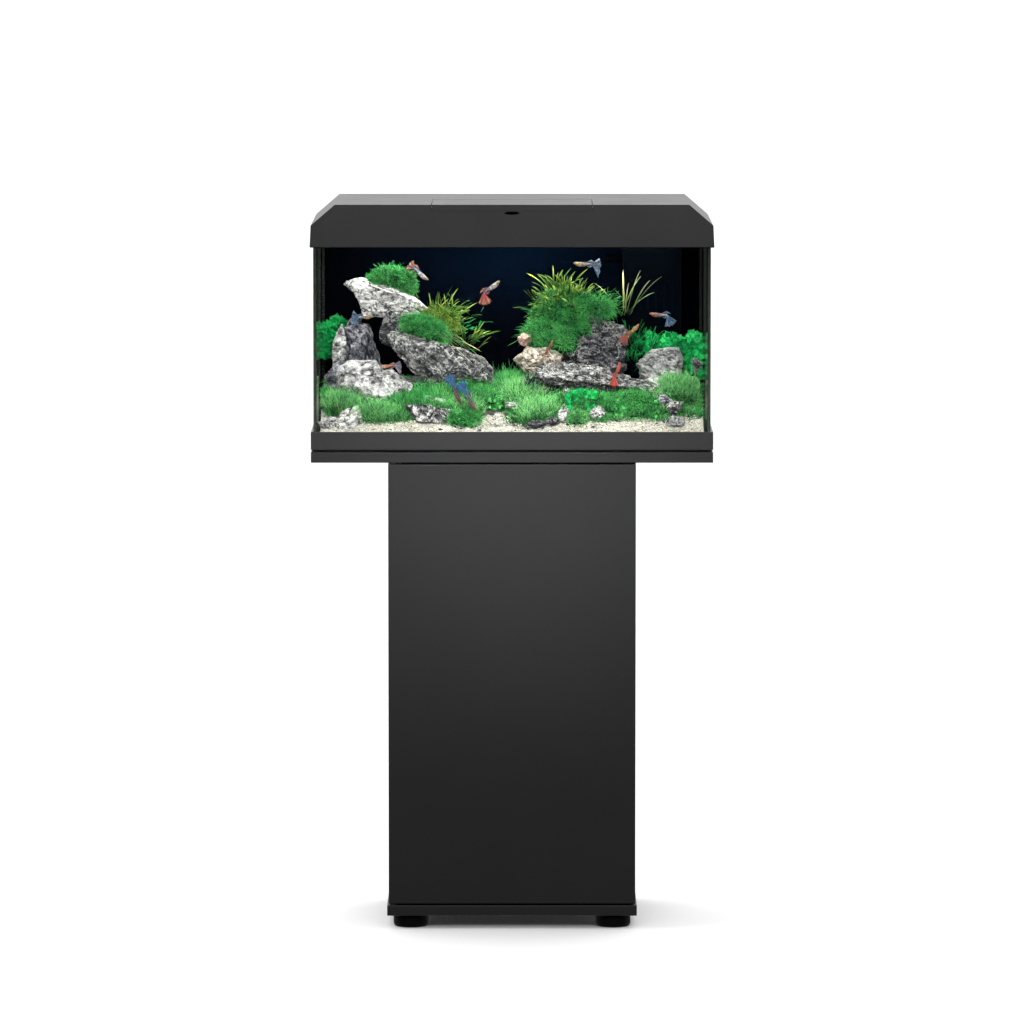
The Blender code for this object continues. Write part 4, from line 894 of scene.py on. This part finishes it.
def planting():
    """Moss, ferns, round leaves and grass. A row has a plant's middle and its radii or spread in millimetres, its
    finish, its number of clumps or leaves, and its seed."""
    vivid = foliage("moss_vivid", (0.020, 0.180, 0.040), (0.095, 0.480, 0.135), (0.001, 0.018, 0.006))
    bright = foliage("moss_bright", (0.070, 0.290, 0.080), (0.240, 0.660, 0.260), (0.004, 0.045, 0.012))
    deep = foliage("leaf_deep", (0.003, 0.190, 0.045), (0.012, 0.450, 0.115), (0.001, 0.020, 0.007))
    lime = foliage("fern_lime", (0.070, 0.180, 0.022), (0.300, 0.440, 0.080), (0.006, 0.030, 0.004))
    straw = foliage("blade_straw", (0.26, 0.32, 0.12), (0.62, 0.66, 0.40), (0.04, 0.07, 0.02))

    in_tank(moss("cap_moss", mm(-183, 45, 981), mm(22, 24, 13), vivid, 170, 41, 10, 0.009, lumps=0.6),
            "moss", "moss_left")
    in_tank(moss("dome_moss", mm(74, 18, 908), mm(40, 36, 34), vivid, 330, 43, 6, loose=0.8, lift=-0.05),
            "moss", "moss_right")
    place_all(moss, "moss", [
        ("cap_left_moss", (-207, 45, 980), (14, 18, 6), vivid, 70, 93, -6, 0.008),
        ("cap_right_moss", (-163, 45, 969), (10, 16, 9), vivid, 70, 94, 30, 0.008),
        ("slab_moss", (-143, -16, 911), (23, 28, 12), vivid, 170, 42, 6, 0.011),
        ("slab_moss_middle", (-120, -22, 903), (19, 24, 12), vivid, 120, 95, 30, 0.012),
        ("dome_left_moss", (48, -6, 898), (24, 28, 18), vivid, 190, 44, 0, 0.012),
        ("slab_fern_moss", (-108, 0, 918), (20, 18, 14), lime, 130, 92, 20, 0.011),
        ("dome_left_low_moss", (64, -26, 889), (26, 22, 14), vivid, 150, 49, 0, 0.010),
        ("dome_pad_moss", (124, 0, 940), (24, 26, 11), vivid, 170, 50, 8, 0.012),
        ("dome_top_moss", (80, 12, 945), (30, 26, 18), vivid, 170, 59, 0, 0.010),
        ("front_moss_ball", (-78, -110, 777), (18, 11, 8), vivid, 100, 45, 0, 0.009),
        ("ledge_moss", (106, -98, 802), (26, 14, 12), vivid, 140, 46, 0, 0.009),
        ("small_bright_moss", (98, -122, 779), (11, 8, 9), bright, 50, 60, 0, 0.008),
        ("ledge_right_moss", (192, -100, 796), (30, 16, 18), vivid, 150, 47, 0, 0.010),
    ], loose=1.15, lumps=0.62)
    place_all(moss, "moss", [
        ("left_bright_mound", (-204, -104, 778), (30, 12, 10), bright, 130, 81),
        ("left_low_mound", (-262, -86, 790), (26, 22, 12), bright, 130, 82),
        ("left_middle_mound", (-140, -80, 792), (44, 22, 10), vivid, 190, 83),
        ("left_inner_mound", (-84, -74, 790), (30, 22, 10), bright, 150, 84),
        ("slab_foot_mound", (-85, -52, 802), (58, 18, 10), vivid, 190, 90),
        ("centre_back_mound", (-10, 6, 812), (40, 30, 14), vivid, 190, 85),
        ("centre_mound", (18, -44, 804), (36, 24, 14), bright, 170, 86),
        ("right_front_mound", (44, -92, 782), (30, 14, 9), bright, 140, 87),
        ("right_far_mound", (254, -62, 810), (30, 26, 14), bright, 180, 88),
        ("right_side_mound", (150, -84, 790), (34, 18, 10), vivid, 150, 89),
        ("right_low_mound", (208, -90, 788), (30, 16, 9), bright, 130, 91),
    ], length=0.017, width=0.0007, up=2.0, loose=0.62, patch=0.0070, lumps=0.60, droop=0.18)
    place_all(tuft, "moss", [
        ("slab_fern", (-108, -2, 920), (12, 8, 5), lime, 46, 51, 0.056, 0.0028, 0.50, (0.1, -0.1, 1.0)),
        ("slab_fern_side", (-98, -4, 926), (14, 8, 10), lime, 90, 52, 0.022, 0.0022, 0.8, (0.4, -0.2, 0.6)),
        ("slab_fern_low", (-64, -10, 884), (8, 6, 4), lime, 26, 53, 0.046, 0.0030, 0.50, (0.5, -0.1, 0.9)),
        ("slab_dark_fern", (-76, 6, 905), (16, 10, 14), deep, 80, 54, 0.022, 0.0024, 0.8, (0.3, -0.2, 0.6)),
        ("dome_fern_left", (52, -2, 935), (10, 14, 8), lime, 46, 55, 0.028, 0.0030, 0.60, (-0.45, -0.35, 0.8)),
        ("dome_fern_middle", (76, 0, 950), (16, 14, 8), lime, 84, 56, 0.034, 0.0032, 0.60, (-0.15, -0.3, 0.9)),
        ("dome_fern_top", (100, 6, 956), (18, 14, 6), lime, 64, 57, 0.028, 0.0028, 0.60, (0.1, -0.2, 1.0)),
        ("dome_fern_back", (72, 14, 965), (10, 10, 4), lime, 26, 58, 0.046, 0.0034, 0.55, (-0.05, -0.05, 1.0)),
        ("dome_fern_right", (142, 10, 946), (12, 12, 6), vivid, 80, 59, 0.022, 0.0022, 0.70, (0.3, -0.2, 0.9)),
        ("dark_fern", (184, 30, 872), (14, 10, 14), deep, 130, 60, 0.034, 0.0026, 0.55, (0.1, -0.2, 1.0)),
        ("side_fern", (208, 34, 866), (14, 10, 10), deep, 90, 61, 0.022, 0.0026, 0.60, (0.1, -0.2, 1.0)),
        ("arching_blades", (174, 18, 930), (6, 4, 3), straw, 11, 66, 0.088, 0.0026, 0.36, (0.02, -0.05, 1.0),
         0.30, 0.25, 8),
        ("slab_stems", (-104, -62, 905), (10, 3, 4), straw, 9, 67, 0.062, 0.0013, 0.16, (0.80, -0.18, -0.42),
         0.10, 0.25, 8),
        ("front_stems", (-262, -128, 776), (4, 2, 2), straw, 6, 68, 0.040, 0.0012, 0.30, (0.30, -0.02, 1.0),
         0.30, 0.25, 6),
    ])
    place_all(leafy, "moss", [
        ("front_leaves_left", (106, -106, 806), (24, 10, 14), deep, 260, 96, 0.0036),
        ("front_leaves_right", (190, -108, 794), (34, 10, 14), vivid, 300, 97, 0.0030),
        ("path_leaves", (-14, -62, 800), (22, 12, 10), vivid, 150, 98, 0.0030),
        ("back_leaves_left", (-272, 108, 884), (22, 18, 26), deep, 420, 57, 0.0070),
        ("back_leaves_right", (250, 44, 862), (42, 10, 30), deep, 620, 58, 0.0070),
    ])
    lawns = [
        ("lawn_left", vivid, 620, 71, 15, [(-288, -92), (-200, -106), (-100, -104), (-66, -88), (-40, -20), (-50, 60),
                                           (-120, 120), (-288, 120)]),
        ("lawn_left_low", bright, 200, 72, 14, [(-285, -96), (-170, -112), (-90, -106), (-64, -70), (-150, -50),
                                                (-285, -40)]),
        ("lawn_right", vivid, 660, 73, 15, [(12, -84), (60, -104), (150, -108), (288, -100), (288, 45), (160, 45),
                                            (20, 60), (-35, 50), (-16, -50)]),
        ("lawn_right_low", bright, 220, 74, 14, [(0, -70), (30, -104), (100, -108), (220, -108), (285, -100),
                                                 (280, -60), (50, -50)]),
    ]
    for name, finish, clumps, seed, length, outline in lawns:
        outline = [mm(*corner) for corner in outline]
        in_tank(lawn(name, outline, finish, clumps, seed, length / 1000), "moss")


def shoal():
    """Eleven guppies. Each has its place and length in millimetres, nose-up angle and turn, its tail's reach up and
    down, sweep and length, its colours from nose to tail edge (head, flank, rear, tail root, tail edge), its spots."""
    eye = eye_glaze()
    red, rust, orange, gold = (0.30, 0.012, 0.006), (0.12, 0.018, 0.008), (0.34, 0.085, 0.012), (0.30, 0.190, 0.030)
    white, blue, navy, slate = (0.36, 0.37, 0.36), (0.004, 0.068, 0.160), (0.002, 0.010, 0.034), (0.03, 0.045, 0.07)
    brown, pearl, amber = (0.07, 0.030, 0.012), (0.075, 0.13, 0.18), (0.26, 0.090, 0.018)
    fish = [
        ("a", (-146, 20, 995), 46, (-40, 12), (0.20, 0.26, 0, 0.20), (gold, white, pearl, rust, amber), slate),
        ("b", (-229, -60, 929), 34, (2, -10), (0.28, 0.46, 0, 0.32), (gold, gold, white, blue, pearl), navy),
        ("c", (-184, -92, 857), 36, (-4, 172), (0.18, 0.44, 0, 0.30), (white, amber, orange, pearl, slate), rust),
        ("d", (-38, 0, 966), 48, (36, 10), (0.22, 0.24, 62, 0.40), (gold, white, slate, red, amber), navy),
        ("e", (117, 0, 1006), 46, (4, 188), (0.22, 0.46, 0, 0.28), (gold, gold, pearl, slate, pearl), navy),
        ("f", (232, -30, 930), 44, (6, 186), (0.20, 0.26, 58, 0.40), (orange, amber, white, blue, pearl), navy),
        ("g", (180, -52, 904), 40, (42, 14), (0.20, 0.24, 10, 0.36), (amber, gold, rust, red, rust), brown),
        ("h", (158, -112, 846), 38, (70, 20), (0.22, 0.16, 14, 0.38), (red, red, rust, red, red), brown),
        ("i", (-86, -114, 821), 44, (-66, 12), (0.20, 0.20, 0, 0.44), (brown, rust, brown, blue, blue), navy),
        ("j", (-66, -122, 811), 46, (-58, -8), (0.20, 0.20, 0, 0.44), (rust, brown, brown, blue, blue), navy),
        ("k", (56, -72, 882), 26, (64, 14), (0.12, 0.12, 0, 0.30), (amber, rust, rust, rust, rust), brown),
    ]
    for number, (key, place, length, heading, tail, colours, spots) in enumerate(fish):
        skin = fish_skin(f"guppy_skin_{key}", colours, spots)
        guppy(f"guppy_{key}", mm(*place), length / 1000, *heading, skin, eye, *tail, number + 1, 0.10 * (-1) ** number)


def water():
    """The water's surface, a thin rippled sheet just under the hood's edge."""
    f = Finish("water_surface", (0.02, 0.05, 0.06), 0.03, specular=0.5)
    f.set("Alpha", 0.16)
    f.bump(f.noise(28.0, 3.0), 0.25, 0.004)
    gap = 0.0005
    low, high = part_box("front_pane")[1].y + gap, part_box("back_pane")[0].y - gap
    left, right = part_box("left_pane")[1].x + gap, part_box("right_pane")[0].x - gap
    level, across, deep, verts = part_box("tank_rim")[0].z + 0.0012, 90, 44, []
    for thickness in (0.0008, 0.0):
        for j in range(deep + 1):
            for i in range(across + 1):
                x, y = left + (right - left) * i / across, low + (high - low) * j / deep
                verts.append((x, y, level + 0.0007 * noise.noise(Vector((x * 22, y * 22, 1.0))) + thickness))
    in_tank(link_mesh("water_surface", verts, closed_sheet(deep + 1, across + 1), f))


# ---- studio


def area_light(name, place, aim, size, power, colour=(1, 1, 1)):
    """A rectangular light that the camera doesn't see."""
    data = bpy.data.lights.new(name, "AREA")
    data.shape = "RECTANGLE"
    data.size, data.size_y = size
    data.energy = power
    data.color = colour
    light = bpy.data.objects.new(name, data)
    light.location = place
    light.rotation_euler = (Vector(aim) - Vector(place)).to_track_quat("-Z", "Y").to_euler()
    light.visible_camera = False
    bpy.context.scene.collection.objects.link(light)
    return light


def studio():
    """Pale floor, soft light from above and in front, a brighter horizon behind, and the tank's own lamp."""
    scene = bpy.context.scene
    scene.view_settings.view_transform = "Standard"
    pale = Finish("floor_pale", (0.87, 0.87, 0.87), 0.9, specular=0.1)
    pale.link(pale.blend(pale.noise(0.8, 2.0), (0.86, 0.86, 0.86), (0.88, 0.88, 0.88)), "Base Color")
    reach = 120.0
    corners = [(-reach, -reach, 0), (reach, -reach, 0), (reach, reach, 0), (-reach, reach, 0)]
    floor = link_mesh("floor", corners, [(0, 1, 2, 3)], pale)
    floor.visible_glossy = floor.visible_diffuse = False

    scene.world = bpy.data.worlds.new("studio")
    scene.world.use_nodes = True
    sky = Nodes(scene.world.node_tree, "Generated")
    glow = sky.maths("ADD", sky.spread(sky.axis("Y"), 0.05, 1.40, -0.4, 0.6), sky.spread(sky.axis("Z"), 0.0, 1.0))
    background = sky.tree.nodes["Background"]
    background.inputs["Color"].default_value = (1.0, 1.0, 1.0, 1.0)
    sky.feed(background.inputs["Strength"], glow)

    area_light("softbox_front", (0.0, -2.6, 1.45), (0, 0, 0.95), (2.2, 0.8), 36)
    wash = area_light("door_wash", (0.0, -1.30, 1.15), (0, -0.15, 0.68), (0.5, 0.10), 2.4)
    wash.visible_glossy = False
    wash.data.spread = math.radians(34)
    area_light("softbox_left", (-2.4, -0.6, 2.0), (0, 0, 0.9), (1.6, 1.6), 18)
    lamp_low, lamp_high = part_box("led_diffuser")
    middle = (lamp_low + lamp_high) / 2
    lamp = (middle.x, middle.y - 0.02, lamp_low.z - 0.012)
    area_light("tank_lamp", lamp, (middle.x, middle.y - 0.06, 0), (0.52, 0.09), 2.4, (1.0, 0.99, 0.96))
    area_light("tank_front_fill", (0, -0.135, 1.030), (0, 0.02, 0.84), (0.54, 0.02), 0.45)
    area_light("tank_low_fill", (0, -0.1445, 0.89), (0, 0.02, 0.84), (0.56, 0.20), 0.22)

    camera = bpy.data.objects.new("camera", bpy.data.cameras.new("camera"))
    camera.data.lens = 247.9
    camera.data.sensor_width = 36.0
    camera.data.clip_end = 500.0
    camera.location = (0.0, -10.8, 1.690)
    camera.rotation_euler = (math.radians(90) - 0.0984, 0, 0)
    scene.collection.objects.link(camera)
    scene.camera = camera


studio()
finish_frame()
sand_bed()
rockwork()
planting()
shoal()
water()
